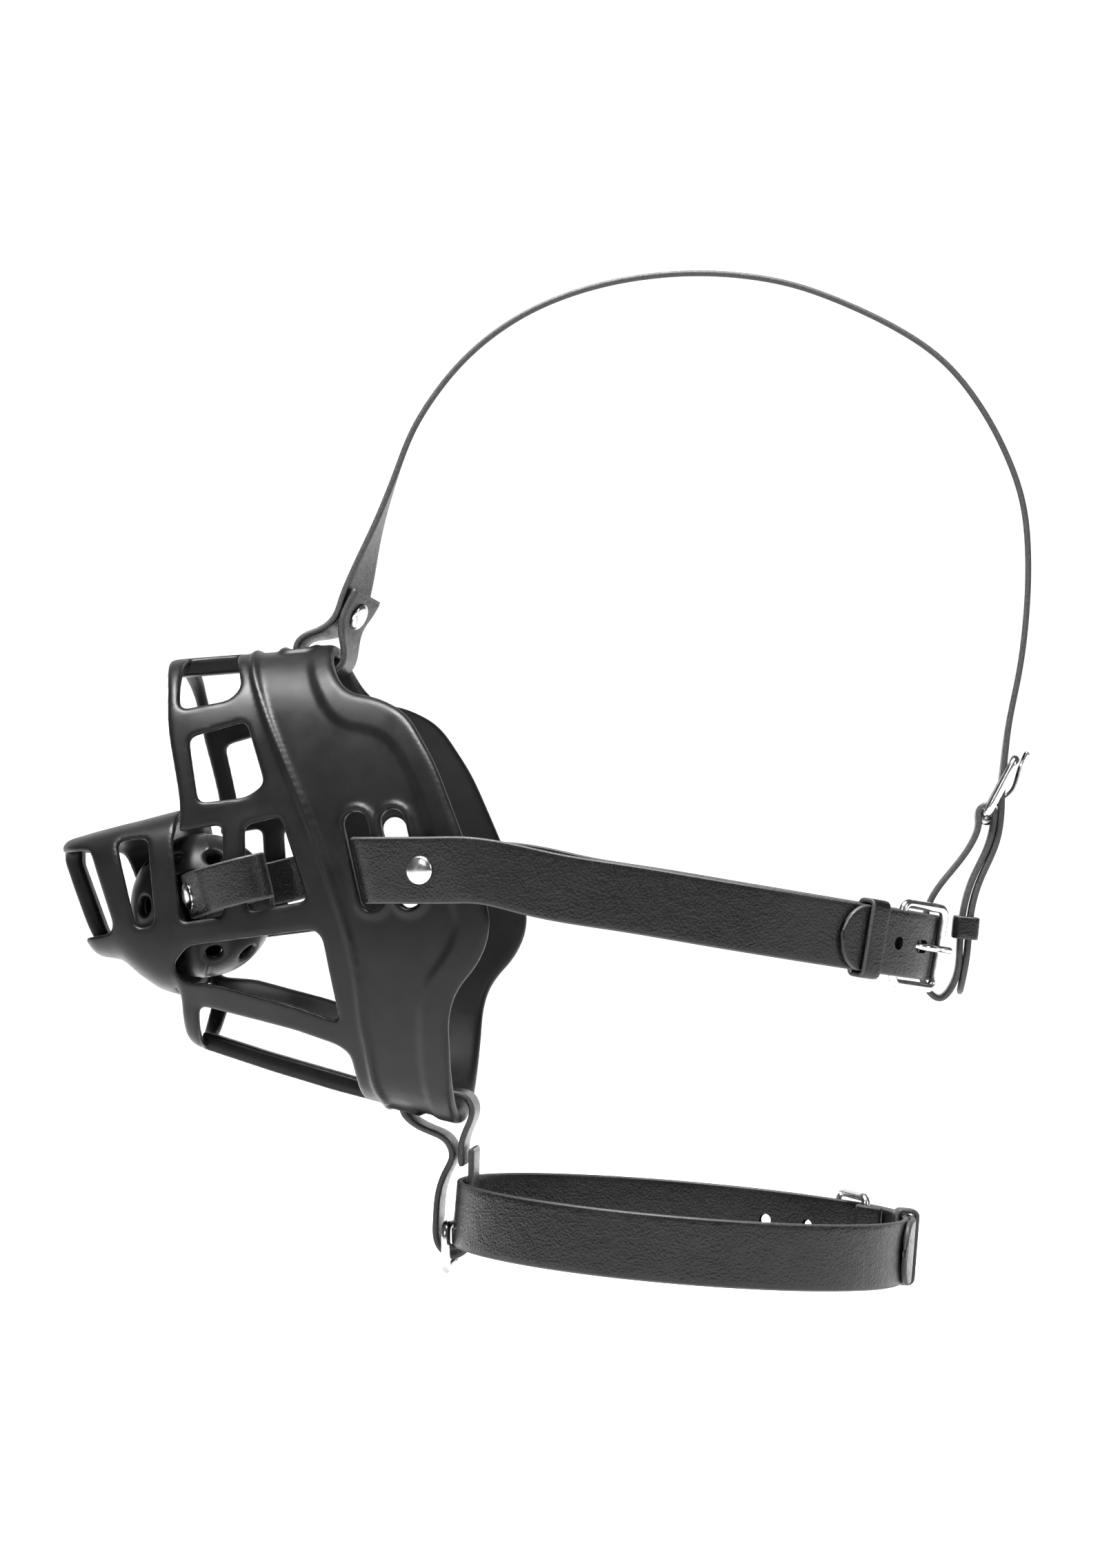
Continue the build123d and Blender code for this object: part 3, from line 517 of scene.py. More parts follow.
# ---------------------------------------------------------------- paths
def spline(points, step=1.1, closed=False):
    """Evenly spaced samples of a natural cubic through the points."""
    p = np.array(points, float)
    if closed:
        overlap = 4
        p = np.vstack([p[-overlap:], p, p[:overlap + 1]])
    t = np.concatenate([[0], np.cumsum(np.linalg.norm(np.diff(p, axis=0), axis=1))])
    n = len(t)
    h = np.diff(t)
    a = np.eye(n)
    b = np.zeros((n, p.shape[1]))
    for i in range(1, n - 1):
        a[i, i - 1:i + 2] = h[i - 1], 2 * (h[i - 1] + h[i]), h[i]
        b[i] = 6 * ((p[i + 1] - p[i]) / h[i] - (p[i] - p[i - 1]) / h[i - 1])
    m = np.linalg.solve(a, b)
    start, end = (t[overlap], t[-overlap - 1]) if closed else (0.0, t[-1])
    fine = np.linspace(start, end, 4000)
    k = np.clip(np.searchsorted(t, fine, side="right") - 1, 0, n - 2)
    u = (fine - t[k])[:, None]
    w = (t[k + 1] - fine)[:, None]
    hk = h[k][:, None]
    curve = (m[k] * w ** 3 + m[k + 1] * u ** 3) / (6 * hk) + (p[k] / hk - m[k] * hk / 6) * w \
        + (p[k + 1] / hk - m[k + 1] * hk / 6) * u
    length = np.concatenate([[0], np.cumsum(np.linalg.norm(np.diff(curve, axis=0), axis=1))])
    count = max(8, int(length[-1] / step))
    even = np.linspace(0, length[-1], count + 1)
    if closed:
        even = even[:-1]
    return np.stack([np.interp(even, length, curve[:, i]) for i in range(p.shape[1])], axis=1)


def polar(radius, angle):
    turn = math.radians(angle)
    return (radius * math.sin(turn), -radius * math.cos(turn))


def arc_points(radius, first, last, count):
    return [polar(radius, first + (last - first) * index / (count - 1)) for index in range(count)]


def fold_points(radius, heel):
    """End of a strap folded inwards round its buckle bar."""
    bar = radius - FOLD
    half_turn = math.degrees(FOLD / bar)
    return [polar(radius, heel - 0.5 * half_turn), polar(bar + 0.87 * FOLD, heel + 0.5 * half_turn),
            polar(bar, heel + half_turn), polar(bar - 0.87 * FOLD, heel + 0.5 * half_turn),
            polar(bar - FOLD, heel - 0.5 * half_turn), polar(radius - 1.5 * LAYER, heel - 4.5),
            polar(radius - LAYER, heel - 8.5)]


def tongue_points(radius, heel, tip):
    """End of a strap that passes under the front bar and over the fold to its tip."""
    points = [polar(radius, heel + 24), polar(radius + 0.3, heel + FRAME_TURN), polar(radius + 1.6, heel + 8)]
    return points + arc_points(radius + LAYER, heel, tip, 5)


def head_place(points):
    """Lay points drawn round the head centre, with a height, into the tilted head plane."""
    p = np.array([(*q, 0.0)[:3] for q in points], float)
    p[:, 0] -= HEAD_PIVOT[0]
    q = np.array([turn_y(row, HEAD_TILT) for row in p])
    return q + np.array([HEAD_PIVOT[0], 0, HEAD_PIVOT[1]])


def head_round(points):
    """As head_place, for points measured from the centre of the head curve."""
    return head_place([(HEAD_CENTRE + q[0], *q[1:]) for q in points])


def collar_place(points):
    p = np.array([(*q, 0.0)[:3] for q in points], float)
    p[:, 0] += COLLAR_RADIUS
    q = np.array([turn_y(row, COLLAR_TILT) for row in p])
    return q + np.array([COLLAR_FRONT[0], 0, COLLAR_FRONT[1]])


def ball_place(points):
    p = np.array([(*q, 0.0)[:3] for q in points], float)
    p[:, 0] -= BALL_LEVEL[0]
    q = np.array([turn_y(row, BALL_TILT) for row in p])
    return q + np.array([BALL_LEVEL[0], 0, BALL_LEVEL[1]])


# ---------------------------------------------------------------- straps
def unit(v):
    return v / np.linalg.norm(v, axis=-1, keepdims=True)


def ripple(count, seed, amount):
    """Slow unevenness along a strap."""
    s = np.arange(count) * 1.1
    phase = seed * 1.7
    return amount * (np.sin(s / 9.0 + phase) + 0.6 * np.sin(s / 4.3 + 2 * phase) + 0.4 * np.sin(s / 23.0 + phase))


def ribbon(path, width_dir, width=WIDTH, thickness=STRAP, tips=(0, 0), closed=False, seed=1, columns=13,
           edge=0.6, wave=0.05):
    """Strap with soft cut edges along a 3-D path; tips are the lengths of pointed ends.

    Returns the vertices, the faces and a flag on each face of a cut edge.
    """
    n = len(path)
    width_dir = np.broadcast_to(np.asarray(width_dir, float), path.shape)
    if closed:
        tangent = np.roll(path, -1, axis=0) - np.roll(path, 1, axis=0)
    else:
        tangent = np.gradient(path, axis=0)
    tangent = unit(tangent)
    normal = unit(np.cross(tangent, width_dir))
    half = np.full(n, width / 2)
    thick = np.full(n, thickness / 2)
    if not closed:
        run = np.concatenate([[0], np.cumsum(np.linalg.norm(np.diff(path, axis=0), axis=1))])
        for index, reach in enumerate(tips):
            gap = run if index == 0 else run[-1] - run
            if reach:
                u = np.clip(1 - gap / reach, 0, 1)
                half *= np.maximum(1 - u ** 2.4, 0.0) ** 0.62 * 0.86 + 0.14
            thick *= np.clip(0.55 + 0.45 * np.sqrt(np.clip(gap / 0.8, 0, 1)), 0, 1)
    profile = []
    for sign in (1.0, -1.0):
        profile += [(column, 0.0, sign) for column in np.linspace(-sign, sign, columns)]
        for angle in np.radians((60, 20, -20, -60)):
            profile.append((sign, sign * math.cos(angle), sign * math.sin(angle)))
    profile = np.array(profile)
    across = profile[None, :, 0] * (half[:, None] - edge) + profile[None, :, 1] * edge
    raised = profile[None, :, 2] * thick[:, None]
    crown = 0.06 * (1 - profile[None, :, 0] ** 4) * np.sign(profile[None, :, 2])
    sway = (0 if closed else 1) * ripple(n, seed, wave)[:, None] * (0.6 + 0.4 * profile[None, :, 0])
    lift = raised + crown + sway
    verts = path[:, None, :] + across[..., None] * width_dir[:, None, :] + lift[..., None] * normal[:, None, :]
    size = profile.shape[0]
    rings = n if closed else n - 1
    faces, flags = [], []
    edge_columns = set(range(columns - 1, columns + 4)) | set(range(2 * columns + 3, size))
    for i in range(rings):
        a, b = i * size, ((i + 1) % n) * size
        for j in range(size):
            k = (j + 1) % size
            faces.append((a + j, a + k, b + k, b + j))
            flags.append(1 if j in edge_columns else 0)
    if not closed:
        for start, flip in ((0, False), ((n - 1) * size, True)):
            top = list(range(columns))
            low = [2 * columns + 3 - c for c in range(columns)]
            caps = [(top[c], low[c], low[c + 1], top[c + 1]) for c in range(columns - 1)]
            caps.append((columns - 1, columns + 4, columns + 3, columns + 2, columns + 1, columns))
            caps.append((0, size - 1, size - 2, size - 3, size - 4, 2 * columns + 3))
            for index, cap in enumerate(caps):
                cap = [start + v for v in cap]
                turned = (index == columns) != flip
                faces.append(tuple(cap) if turned else tuple(reversed(cap)))
                flags.append(1)
    return verts.reshape(-1, 3), faces, flags


def strap_object(name, data):
    verts, faces, flags = data
    piece = make_object(name, verts, faces, [LEATHER, EDGE])
    piece.data.polygons.foreach_set("material_index", flags)
    return piece


def tube(path, radius, sides=16, closed=False, up=None):
    """Round wire along a path, with rounded ends if open."""
    n = len(path)
    if closed:
        tangent = unit(np.roll(path, -1, axis=0) - np.roll(path, 1, axis=0))
    else:
        tangent = unit(np.gradient(path, axis=0))
    up = np.asarray(up if up is not None else (0, 0, 1), float)
    side = unit(np.cross(tangent, up))
    other = np.cross(side, tangent)
    angle = 2 * np.pi * np.arange(sides) / sides
    scale = np.full(n, float(radius))
    ring = np.cos(angle)[None, :, None] * side[:, None, :] + np.sin(angle)[None, :, None] * other[:, None, :]
    rows = [path[i] + ring[i] * scale[i] for i in range(n)]
    if not closed:
        for turn in (30, 55, 75):
            a = math.radians(turn)
            rows.insert(0, path[0] - tangent[0] * radius * math.sin(a) + ring[0] * radius * math.cos(a))
            rows.append(path[-1] + tangent[-1] * radius * math.sin(a) + ring[-1] * radius * math.cos(a))
    verts = np.vstack(rows)
    count = len(rows)
    faces = []
    for i in range(count if closed else count - 1):
        a, b = i * sides, ((i + 1) % count) * sides
        for j in range(sides):
            k = (j + 1) % sides
            faces.append((a + j, a + k, b + k, b + j))
    if not closed:
        faces.append(tuple(reversed(range(sides))))
        faces.append(tuple((count - 1) * sides + j for j in range(sides)))
    return verts, [tuple(reversed(f)) for f in faces]


def lathe(place, axis, profile, sides=48):
    """Turn a profile of (radius, height) about an axis; it starts and ends on the axis or closes on itself."""
    axis = unit(np.asarray(axis, float))
    helper = np.array((0, 0, 1.0)) if abs(axis[2]) < 0.9 else np.array((1.0, 0, 0))
    u = unit(np.cross(axis, helper))
    v = np.cross(axis, u)
    angle = 2 * np.pi * np.arange(sides) / sides
    ring = np.cos(angle)[:, None] * u + np.sin(angle)[:, None] * v
    verts = np.vstack([np.asarray(place) + ring * r + axis * h for r, h in profile])
    faces = []
    for i in range(len(profile) - 1):
        for j in range(sides):
            k = (j + 1) % sides
            faces.append((i * sides + j, i * sides + k, (i + 1) * sides + k, (i + 1) * sides + j))
    faces.append(tuple(reversed(range(sides))))
    faces.append(tuple((len(profile) - 1) * sides + j for j in range(sides)))
    return verts, faces


CAP = [(1.55, -0.9), (1.6, 0.0), (4.15, 0.0), (4.3, 0.12), (4.3, 0.38), (4.12, 0.72), (3.7, 1.02), (3.0, 1.28),
       (2.1, 1.46), (1.2, 1.56), (0.3, 1.6)]
BACK = [(1.0, 0.0), (3.7, 0.0), (3.87, 0.15), (3.87, 0.6), (3.6, 0.9), (3.2, 1.0), (1.9, 1.0), (1.6, 0.8),
        (0.5, 0.75)]


def rivet(place, normal, stack):
    """Domed outer cap and flat inner cap."""
    normal = unit(np.asarray(normal, float))
    place = np.asarray(place, float)
    return lathe(place + normal * stack / 2, normal, CAP), lathe(place - normal * stack / 2, -normal, BACK)


def cut(piece, cutters):
    """Punch holes: exact difference with the cutters, applied to the mesh."""
    verts, faces = merged(cutters)
    tool = make_object(piece.name + "_tool", verts, faces, EDGE, smooth=False)
    modifier = piece.modifiers.new("holes", "BOOLEAN")
    modifier.operation = "DIFFERENCE"
    modifier.solver = "EXACT"
    modifier.material_mode = "TRANSFER"
    modifier.object = tool
    evaluated = piece.evaluated_get(bpy.context.evaluated_depsgraph_get())
    mesh = bpy.data.meshes.new_from_object(evaluated)
    piece.modifiers.clear()
    piece.data = mesh
    bpy.data.objects.remove(tool)


def punch(place, axis, length=4.0, width=4.0, along_dir=(1, 0, 0), depth=3.4):
    """Cutter for a round or long hole through a strap."""
    axis = unit(np.asarray(axis, float))
    along_dir = unit(np.asarray(along_dir, float))
    side = np.cross(axis, along_dir)
    count = 28
    ring = []
    for index in range(count):
        a = 2 * math.pi * index / count
        stretch = (length - width) / 2 * (1 if math.cos(a) > 0 else -1)
        ring.append(along_dir * (width / 2 * math.cos(a) + stretch) + side * width / 2 * math.sin(a))
    ring = np.array(ring)
    verts = np.vstack([np.asarray(place) - axis * depth / 2 + ring, np.asarray(place) + axis * depth / 2 + ring])
    faces = [(j, (j + 1) % count, count + (j + 1) % count, count + j) for j in range(count)]
    faces += [tuple(reversed(range(count))), tuple(range(count, 2 * count))]
    return verts, faces


def loop_path(centre, x_dir, y_dir, length, width, corner):
    """Rounded rectangle in 3-D."""
    centre, x_dir, y_dir = (np.asarray(v, float) for v in (centre, x_dir, y_dir))
    points = []
    for sx, sy, first in ((1, 1, 0), (-1, 1, 90), (-1, -1, 180), (1, -1, 270)):
        cx, cy = sx * (length / 2 - corner), sy * (width / 2 - corner)
        for turn in range(0, 91, 15):
            a = math.radians(first + turn)
            points.append(centre + x_dir * (cx + corner * math.cos(a)) + y_dir * (cy + corner * math.sin(a)))
    dense = []
    for p, q in zip(points, points[1:] + points[:1]):
        count = max(1, int(np.linalg.norm(q - p) / 1.5))
        dense += [p + (q - p) * i / count for i in range(count)]
    return np.array(dense)


def buckle(heel, front, width_dir, inner=WIDTH + 1.6):
    """Rectangular frame of round wire between its heel bar and front bar."""
    heel, front, width_dir = (np.asarray(v, float) for v in (heel, front, width_dir))
    x_dir = unit(front - heel)
    length = np.linalg.norm(front - heel)
    path = loop_path((heel + front) / 2, x_dir, width_dir, length, inner + 2 * WIRE, 2.6)
    return tube(path, WIRE, closed=True, up=np.cross(x_dir, width_dir))


def prong(heel, knee, tip, width_dir):
    """Bent prong curled round the heel bar."""
    heel, knee, tip, width_dir = (np.asarray(v, float) for v in (heel, knee, tip, width_dir))
    toward = unit(knee - heel)
    side = np.cross(width_dir, toward)
    curl = [heel + (toward * math.cos(math.radians(a)) + side * math.sin(math.radians(a))) * 2.4
            for a in range(-300, -45, 12)]
    blade = [heel + toward * 3.4 - side * 1.2, heel + toward * 5.2 - side * 0.5]
    line = spline(curl + blade + [heel + (knee - heel) * 0.75, knee, knee + (tip - knee) * 0.5, tip], 0.6)
    return tube(line, 1.0, sides=14, up=width_dir)


def keeper(centre, out, along_dir, width_dir, low, high):
    """Leather loop round a stack of straps, with its ends butted inside."""
    out, along_dir, width_dir = (unit(np.asarray(v, float)) for v in (out, along_dir, width_dir))
    middle = np.asarray(centre, float) + out * (low + high) / 2
    path = loop_path(middle, width_dir, out, WIDTH + 0.9 + 1.4, high - low + 1.4, 1.6)
    return ribbon(path, along_dir, 7.0, 1.4, closed=True, columns=7, edge=0.45)


# ---------------------------------------------------------------- build: basket and ball
GRID = 0.75
basket = make_object("basket_shell", *make_basket(GRID), RUBBER)
stand_for(basket, "muzzle", "rubber", "basket")
ball = make_object("mouth_ball_shell", *make_ball(0.6), BALL_RUBBER)
stand_for(ball, "ball", "ball_rubber", "mouth_ball")

BALL_HALF = [(-82.5, 0.0), (-82.6, -10.0), (-82.7, -20.0), (-82.4, -26.5), (-79.4, -33.2), (-73.4, -42.0),
             (-66.6, -46.2), (-58.5, -46.8), (-55.0, -43.5), (-57.5, -39.4), (-63.5, -37.6), (-69.8, -36.6),
             (-74.5, -34.6), (-77.4, -31.9), (-78.9, -28.8), (-79.7, -25.6)]
ball_line = spline([(x, -y) for x, y in reversed(BALL_HALF)] + BALL_HALF[1:], 0.9)
ball_strap = strap_object("ball_strap_leather", ribbon(
    ball_place(ball_line), turn_y((0, 0, 1), BALL_TILT), 14.0, seed=4, wave=0.02))
stand_for(ball_strap, "ball", "strap_leather", "ball_strap")
BALL_STACK, SIDE_STACK, CROWN_STACK = 4.1, 5.0, 4.5


def ball_rivet(side):
    """Rivet of the ball strap; side is -1 on the left."""
    return rivet(ball_place([(-79.9, side * 29.3)])[0], turn_y((-0.9, side * 0.44, 0), BALL_TILT), BALL_STACK)


ball_caps, ball_backs = zip(ball_rivet(-1), ball_rivet(1))
stand_for(make_object("ball_rivet_domes", *merged(ball_caps), NICKEL), "ball", "nickel", "ball_rivet_caps")
stand_for(make_object("ball_rivet_washers", *merged(ball_backs), NICKEL), "ball", "nickel", "ball_rivet_backs")

# ---------------------------------------------------------------- build: head strap
SLOT_PATH = [(8.5, -68.5), (0.0, -66.0), (-10.0, -62.7), (-19.0, -59.4), (-24.4, -56.2), (-26.0, -51.6),
             (-24.4, -47.4), (-20.2, -46.6), (-15.8, -48.6), (-14.0, -53.0), (-12.0, -57.6), (-7.6, -60.3),
             (-1.0, -62.6), (3.5, -64.2)]
SIDE = [(30.0, -69.1), (55.0, -69.1), (80.0, -69.1)]


def side_strap(curve, tips):
    """Strap from its rear end, along the side and through the two slots."""
    rear = head_place(list(reversed(SIDE + [(HEAD_CENTRE + x, y) for x, y in curve])))
    front = np.array([(x, y, HEAD_PIVOT[1]) for x, y in SLOT_PATH])
    line = spline(np.vstack([rear, front]))
    lean = np.array(turn_y((0, 0, 1), -SLOT_LEAN))
    back = np.array(turn_y((0, 0, 1), HEAD_TILT))
    share = np.clip((line[:, 0] + 2.0) / 30.0, 0, 1)
    share = (share * share * (3 - 2 * share))[:, None]
    width_dir = lean / abs(lean[2]) * (1 - share) + back * share
    return ribbon(line, width_dir, tips=tips, seed=2)


def mirrored(data):
    verts, faces, flags = data
    return verts * np.array([1, -1, 1]), [tuple(reversed(face)) for face in faces], flags


left_curve = arc_points(HEAD_RADIUS, 12, HEAD_HEEL - 5, 4) + fold_points(HEAD_RADIUS, HEAD_HEEL)
buckle_strap = strap_object("buckle_strap_leather", side_strap(left_curve, (0, 0)))
flipped = arc_points(HEAD_RADIUS, 12, 180 - HEAD_HEEL - 34, 7)
flipped += [(x, -y) for x, y in tongue_points(HEAD_RADIUS, HEAD_HEEL, HEAD_TIP)]
tongue_strap = strap_object("tongue_strap_leather", mirrored(side_strap(flipped, (9, 0))))
HEAD_UP = turn_y((0, 0, 1), HEAD_TILT)


def head_dir(angle):
    return np.array(turn_y((*polar(1, angle), 0.0), HEAD_TILT))


def round_punch(placer, direction, radius, angle, length=4.0):
    return punch(placer([polar(radius, angle)])[0], direction(angle), length, 4.0, direction(angle + 90))


cut(tongue_strap, [round_punch(head_round, head_dir, HEAD_RADIUS + 1.8, HEAD_HEEL + 4.6, 8.0)]
    + [round_punch(head_round, head_dir, HEAD_RADIUS + (LAYER if angle < HEAD_HEEL else 0), angle)
       for angle in (HEAD_HEEL - 6, HEAD_HEEL + 24, HEAD_HEEL + 38, HEAD_HEEL + 52)])


PRONG_SLOT = 2.3
BLOCK_FACES = [(0, 1, 3, 2), (4, 6, 7, 5), (0, 4, 5, 1), (2, 3, 7, 6), (0, 2, 6, 4), (1, 5, 7, 3)]


def fold_cut(placer, direction, radius, heel):
    """Slot through a fold for the prong."""
    base = np.array(placer([polar(radius - FOLD, heel)])[0])
    out, onward = direction(heel), direction(heel + 90)
    up = np.cross(out, onward)
    corners = [base + onward * a + out * b + up * c
               for a in (-3.0, 8.0) for b in (-6.0, 3.2) for c in (-PRONG_SLOT, PRONG_SLOT)]
    return np.array(corners), BLOCK_FACES


cut(buckle_strap, [fold_cut(head_round, head_dir, HEAD_RADIUS, HEAD_HEEL)])
stand_for(buckle_strap, "muzzle", "strap_leather", "buckle_strap")
stand_for(tongue_strap, "muzzle", "strap_leather", "tongue_strap")
side_caps, side_backs = zip(*[rivet((-5.9, side * 62.5, HEAD_PIVOT[1]), (-0.33, side, 0), SIDE_STACK)
                              for side in (-1, 1)])
stand_for(make_object("side_rivet_domes", *merged(side_caps), NICKEL), "muzzle", "nickel", "side_rivet_caps")
stand_for(make_object("side_rivet_washers", *merged(side_backs), NICKEL), "muzzle", "nickel", "side_rivet_backs")


def round_hardware(placer, up, radius, heel):
    """Frame and prong of a buckle on a curved strap."""
    lift = radius + 0.3 + STRAP / 2 + 0.25 + WIRE
    bar = placer([polar(radius - FOLD, heel)])[0]
    front = placer([polar(lift, heel + FRAME_TURN)])[0]
    knee = placer([polar(radius + LAYER + STRAP / 2 + 1.3, heel + 5.5)])[0]
    tip = placer([polar(lift + WIRE + 1.5, heel + FRAME_TURN + 1.5)])[0]
    return buckle(bar, front, up), prong(bar, knee, tip, up)


head_frame, head_prong = round_hardware(head_round, HEAD_UP, HEAD_RADIUS, HEAD_HEEL)
stand_for(make_object("head_buckle_wire", *head_frame, NICKEL), "muzzle", "nickel", "head_buckle_frame")
stand_for(make_object("head_prong_wire", *head_prong, NICKEL), "head_prong", "nickel", "head_buckle_prong")
LOW, HIGH = -STRAP / 2 - 0.45, LAYER + STRAP / 2 + 0.45
head_loop = keeper(head_round([polar(HEAD_RADIUS, HEAD_KEEPER)])[0], head_dir(HEAD_KEEPER),
                   head_dir(HEAD_KEEPER + 90), HEAD_UP, LOW, HIGH)
stand_for(strap_object("head_keeper_leather", head_loop), "head_keeper", "strap_leather", "head_keeper")

# ---------------------------------------------------------------- build: crown strap
CROWN_PATH = [
    (-30.6, 90.5), (-33.0, 86.2), (-35.4, 81.8), (-36.2, 77.0), (-36.2, 72.6), (-37.4, 68.2), (-41.0, 66.0),
    (-45.6, 66.0), (-49.8, 67.6), (-51.6, 71.0), (-51.4, 75.0), (-49.0, 77.3), (-44.6, 78.6), (-40.4, 80.4),
    (-37.4, 83.2), (-35.2, 87.8), (-32.9, 94.6), (-30.6, 102.0), (-27.0, 113.0), (-22.0, 127.6), (-16.8, 141.0),
    (-9.6, 153.0), (0.4, 164.8), (12.5, 174.6), (27.0, 182.2), (46.3, 188.0), (70.7, 190.6), (87.6, 189.6),
    (104.5, 186.1), (121.5, 179.5), (136.0, 172.0), (149.2, 162.4), (160.1, 149.2), (168.6, 133.4), (173.5, 119.0),
    (175.3, 104.6), (174.9, 85.0), (172.5, 65.6), (169.2, 49.0), (167.8, 38.4), (167.0, 29.5), (166.7, 21.5),
    (165.0, 12.2), (160.4, 1.6), (157.4, -9.0), (156.2, -21.0), (153.8, -34.0)]
LOOP_PATH = [
    (164.55, 19.5), (162.9, 12.4), (158.2, 2.2), (155.1, -8.0), (153.9, -20.0), (151.8, -31.0), (147.6, -35.2),
    (143.4, -31.6), (142.2, -20.0), (144.6, -6.0), (151.6, 4.2), (158.2, 13.6), (159.85, 19.5), (159.85, 22.2),
    (160.9, 23.9), (162.2, 24.2), (163.5, 23.9), (164.6, 22.2)]


def upright(points, y=0.0):
    return np.array([(x, y, z) for x, z in points])


ROLL = (    # share of the strap's length, and how far it is rolled from level there
    (0, 18), (0.009, 18), (0.019, 16), (0.028, 9), (0.037, 1), (0.10, 0), (0.11, -7), (0.118, -15), (0.128, -18),
    (0.142, -15), (0.157, -7), (0.18, 3), (0.209, 8), (0.236, 8.7), (0.293, 9.4), (0.355, 9.4), (0.441, 8.8),
    (0.506, 7.8), (0.573, 6.9), (0.637, 5.0), (0.701, 3.2), (0.766, 1.8), (0.837, 1.0), (0.857, 0), (1, 0))
crown_line = spline(upright(CROWN_PATH))
crown_share = np.arange(len(crown_line)) / (len(crown_line) - 1)
crown_tangent = unit(np.gradient(crown_line, axis=0))
crown_normal = unit(np.cross(crown_tangent, (0, 1.0, 0)))
roll = np.radians(np.interp(crown_share, *zip(*ROLL)))
roll = np.convolve(np.pad(roll, 6, mode="edge"), np.ones(13) / 13, mode="valid")
crown_width = np.cos(roll)[:, None] * np.array((0, 1.0, 0)) + np.sin(roll)[:, None] * crown_normal
crown_strap = strap_object("crown_strap_leather", ribbon(crown_line, crown_width, tips=(0, 9), seed=3, wave=0.04))
TONGUE_HOLES = ((157.6, -8.0), (161.9, 5.0), (170.8, 57.0), (173.1, 69.0))
cut(crown_strap, [punch((167.0, 0, 29.4), (1, 0, 0.05), 10.0, 4.0, (0, 0, 1), 5.0)]
    + [punch((x, 0, z), (1, 0, 0), depth=6.0) for x, z in TONGUE_HOLES])
stand_for(crown_strap, "muzzle", "strap_leather", "crown_strap")
crown_cap, crown_back = rivet((-35.2, 0, 84.7), (0.846, -0.309, -0.433), CROWN_STACK)
stand_for(make_object("crown_rivet_dome", *crown_cap, NICKEL), "muzzle", "nickel", "crown_rivet_cap")
stand_for(make_object("crown_rivet_washer", *crown_back, NICKEL), "muzzle", "nickel", "crown_rivet_back")
crown_loop = strap_object("crown_loop_leather", ribbon(
    spline(upright(LOOP_PATH), 0.9, closed=True), (0, 1.0, 0), closed=True, seed=5))
LOOP_CUT = [(x, y, z) for x in (157.6, 166.8) for y in (-PRONG_SLOT, PRONG_SLOT) for z in (17.2, 28.0)]
cut(crown_loop, [(np.array(LOOP_CUT), BLOCK_FACES)])
stand_for(crown_loop, "muzzle", "strap_leather", "crown_loop")
crown_frame = buckle((162.2, 0, 21.5), (171.0, 0, 38.2), (0, 1.0, 0))
stand_for(make_object("crown_buckle_wire", *crown_frame, NICKEL), "muzzle", "nickel", "crown_buckle_frame")
crown_prong = prong((162.2, 0, 21.5), (170.2, 0, 28.4), (174.7, 0, 40.0), (0, 1.0, 0))
stand_for(make_object("crown_prong_wire", *crown_prong, NICKEL), "crown_prong", "nickel", "crown_buckle_prong")
crown_out = turn_y((1, 0, 0), 5.6)
crown_up = turn_y((0, 0, 1), 5.6)
crown_ring = keeper((155.7, 0, -13.5), crown_out, crown_up, (0, 1.0, 0), -2.55, 2.55)
stand_for(strap_object("crown_keeper_leather", crown_ring), "crown_keeper", "strap_leather", "crown_keeper")

# ---------------------------------------------------------------- build: chin link, ring and collar
LINK_PATH = [
    (3.2, -82.0), (3.0, -92.0), (2.8, -104.0), (2.2, -112.0), (-2.2, -115.0), (-6.6, -112.4), (-7.9, -104.0),
    (-7.2, -96.0), (-4.8, -89.0), (-2.9, -84.4), (-4.6, -79.6), (-10.0, -76.6), (-15.6, -73.6), (-18.3, -69.8),
    (-17.2, -66.2), (-12.4, -64.8), (-4.0, -64.8), (1.4, -66.2), (3.3, -69.8), (2.0, -75.0), (0.2, -80.0),
    (0.1, -87.4)]
link = strap_object("chin_link_leather", ribbon(spline(upright(LINK_PATH), 0.9), (0, 1.0, 0), seed=6, wave=0.02))
stand_for(link, "chin_link", "strap_leather", "chin_link")
ring_height = RING_INNER[1] + WIRE
ring_middle = (-4.4, 0, -105.5 - ring_height / 2)
ring_path = loop_path(ring_middle, (0, 1.0, 0), (0, 0, 1.0), RING_INNER[0] + 2 * WIRE, ring_height, 3.6)
ring = tube(ring_path, WIRE, closed=True, up=(1, 0, 0))
stand_for(make_object("chin_ring_wire", *ring, NICKEL), "chin_ring", "nickel", "chin_ring")

collar_points = list(reversed(fold_points(COLLAR_RADIUS, COLLAR_HEEL)))
collar_points += arc_points(COLLAR_RADIUS, COLLAR_HEEL - 6, -200, 24)
collar_points += tongue_points(COLLAR_RADIUS, COLLAR_HEEL, COLLAR_TIP)
COLLAR_UP = turn_y((0, 0, 1), COLLAR_TILT)


def collar_dir(angle):
    return np.array(turn_y((*polar(1, angle), 0.0), COLLAR_TILT))


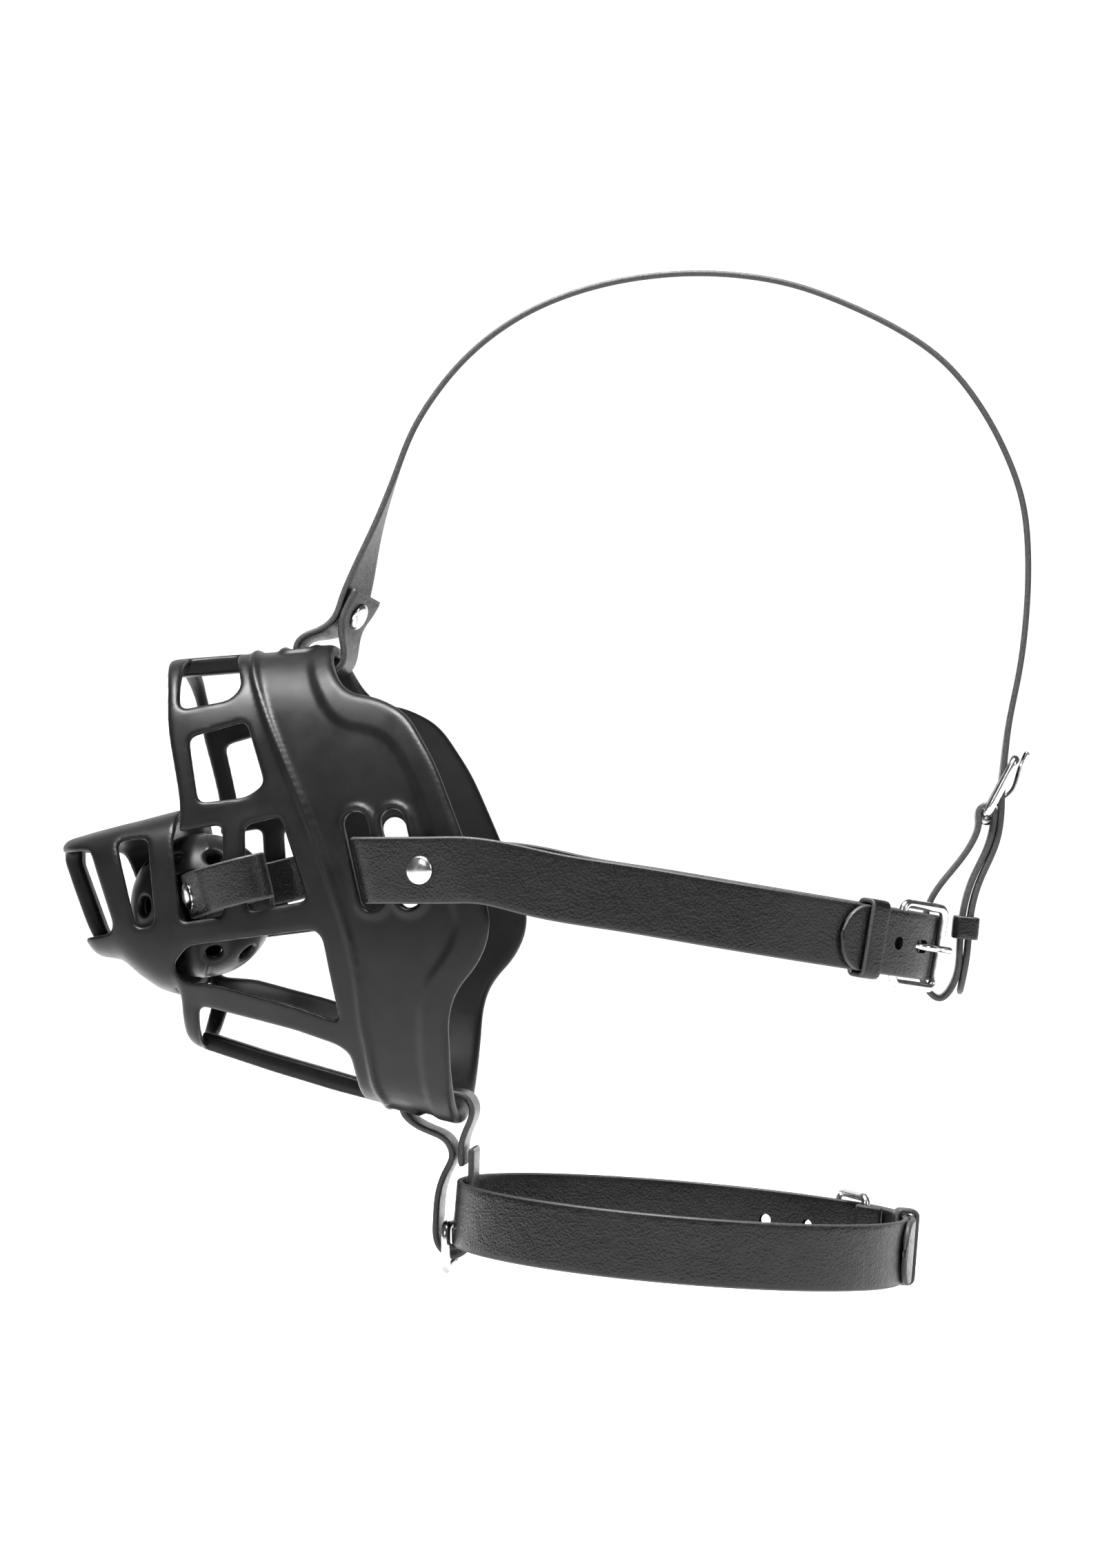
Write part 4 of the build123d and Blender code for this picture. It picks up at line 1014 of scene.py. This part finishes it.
collar_line = collar_place(spline(collar_points))
collar = strap_object("collar_leather", ribbon(collar_line, COLLAR_UP, tips=(0, 9), seed=7))
cut(collar, [fold_cut(collar_place, collar_dir, COLLAR_RADIUS, COLLAR_HEEL),
             round_punch(collar_place, collar_dir, COLLAR_RADIUS + 1.8, COLLAR_HEEL + 4.6, 8.0)]
    + [round_punch(collar_place, collar_dir, COLLAR_RADIUS + (LAYER if angle < COLLAR_HEEL else 0), angle)
       for angle in (COLLAR_HEEL - 11, COLLAR_HEEL + 24, COLLAR_HEEL + 37)])
stand_for(collar, "collar", "strap_leather", "collar_strap")
collar_frame, collar_prong = round_hardware(collar_place, COLLAR_UP, COLLAR_RADIUS, COLLAR_HEEL)
stand_for(make_object("collar_buckle_wire", *collar_frame, NICKEL), "collar", "nickel", "collar_buckle_frame")
stand_for(make_object("collar_prong_wire", *collar_prong, NICKEL), "collar_prong", "nickel", "collar_buckle_prong")
collar_loop = keeper(collar_place([polar(COLLAR_RADIUS, COLLAR_KEEPER)])[0], collar_dir(COLLAR_KEEPER),
                     collar_dir(COLLAR_KEEPER + 90), COLLAR_UP, LOW, HIGH)
stand_for(strap_object("collar_keeper_leather", collar_loop), "collar_keeper", "strap_leather", "collar_keeper")

# ---------------------------------------------------------------- stage, light and camera
scene = bpy.context.scene
scene.view_settings.view_transform = "Standard"


def emissive(name, colour, glow):
    material = bpy.data.materials.new(name)
    _, _, shader = nodes_of(material)
    shader.inputs["Base Color"].default_value = (*colour, 1)
    shader.inputs["Roughness"].default_value = 0.9
    shader.inputs["Specular IOR Level"].default_value = 0.0
    shader.inputs["Emission Color"].default_value = (1, 1, 1, 1)
    shader.inputs["Emission Strength"].default_value = glow
    return material


FLOOR_HALF, COVE = 4000.0, 800.0
floor_level = CAD_BOX[0][2] / MM - 4.0
cove_start = FLOOR_HALF - COVE
sweep_profile = [(-FLOOR_HALF, 0.0), (-400.0, 0.0), (cove_start, 0.0)]
for turn in np.radians(range(10, 91, 10)):
    sweep_profile.append((cove_start + COVE * math.sin(turn), COVE - COVE * math.cos(turn)))
sweep_profile += [(FLOOR_HALF, 3400.0)]
sweep_verts = [(x, y, floor_level + z) for y, z in sweep_profile for x in (-FLOOR_HALF, FLOOR_HALF)]
sweep_faces = [(2 * i, 2 * i + 1, 2 * i + 3, 2 * i + 2) for i in range(len(sweep_profile) - 1)]
sweep = make_object("studio_floor", sweep_verts, sweep_faces, emissive("pale floor", (0.5, 0.5, 0.5), 0.95))

world = bpy.data.worlds.new("studio")
scene.world = world
world.use_nodes = True
world.node_tree.nodes["Background"].inputs["Color"].default_value = (1, 1, 1, 1)
world.node_tree.nodes["Background"].inputs["Strength"].default_value = 0.10


def area_light(name, place, target, size, power):
    data = bpy.data.lights.new(name, "AREA")
    data.shape = "RECTANGLE"
    data.size, data.size_y = size
    data.energy = power
    lamp = bpy.data.objects.new(name, data)
    scene.collection.objects.link(lamp)
    lamp.location = Vector(place)
    lamp.rotation_euler = (Vector(target) - Vector(place)).to_track_quat("-Z", "Y").to_euler()
    return lamp


area_light("softbox_top", (-0.15, -0.30, 1.3), (0.02, 0, 0), (0.8, 0.5), 80)
area_light("softbox_front", (-0.7, -1.4, 0.8), (0, 0, 0), (0.5, 0.6), 4)
area_light("softbox_right", (1.3, -0.9, 0.6), (0.05, 0, 0.03), (0.4, 0.6), 4)

camera_data = bpy.data.cameras.new("camera")
camera = bpy.data.objects.new("camera", camera_data)
scene.collection.objects.link(camera)
scene.camera = camera
camera_data.sensor_fit = "HORIZONTAL"
camera_data.sensor_width = 36.0
camera_data.lens = 130.345
camera_data.clip_end = 20.0
azimuth, elevation, distance = math.radians(4.5), math.radians(-1.5), 1.265
target = np.array((0.030, 0.0, 0.0312))
level = math.cos(elevation)
back = np.array((math.sin(azimuth) * level, -math.cos(azimuth) * level, math.sin(elevation)))
camera.location = (target + back * distance).tolist()
camera.rotation_euler = Vector((-back).tolist()).to_track_quat("-Z", "Y").to_euler()
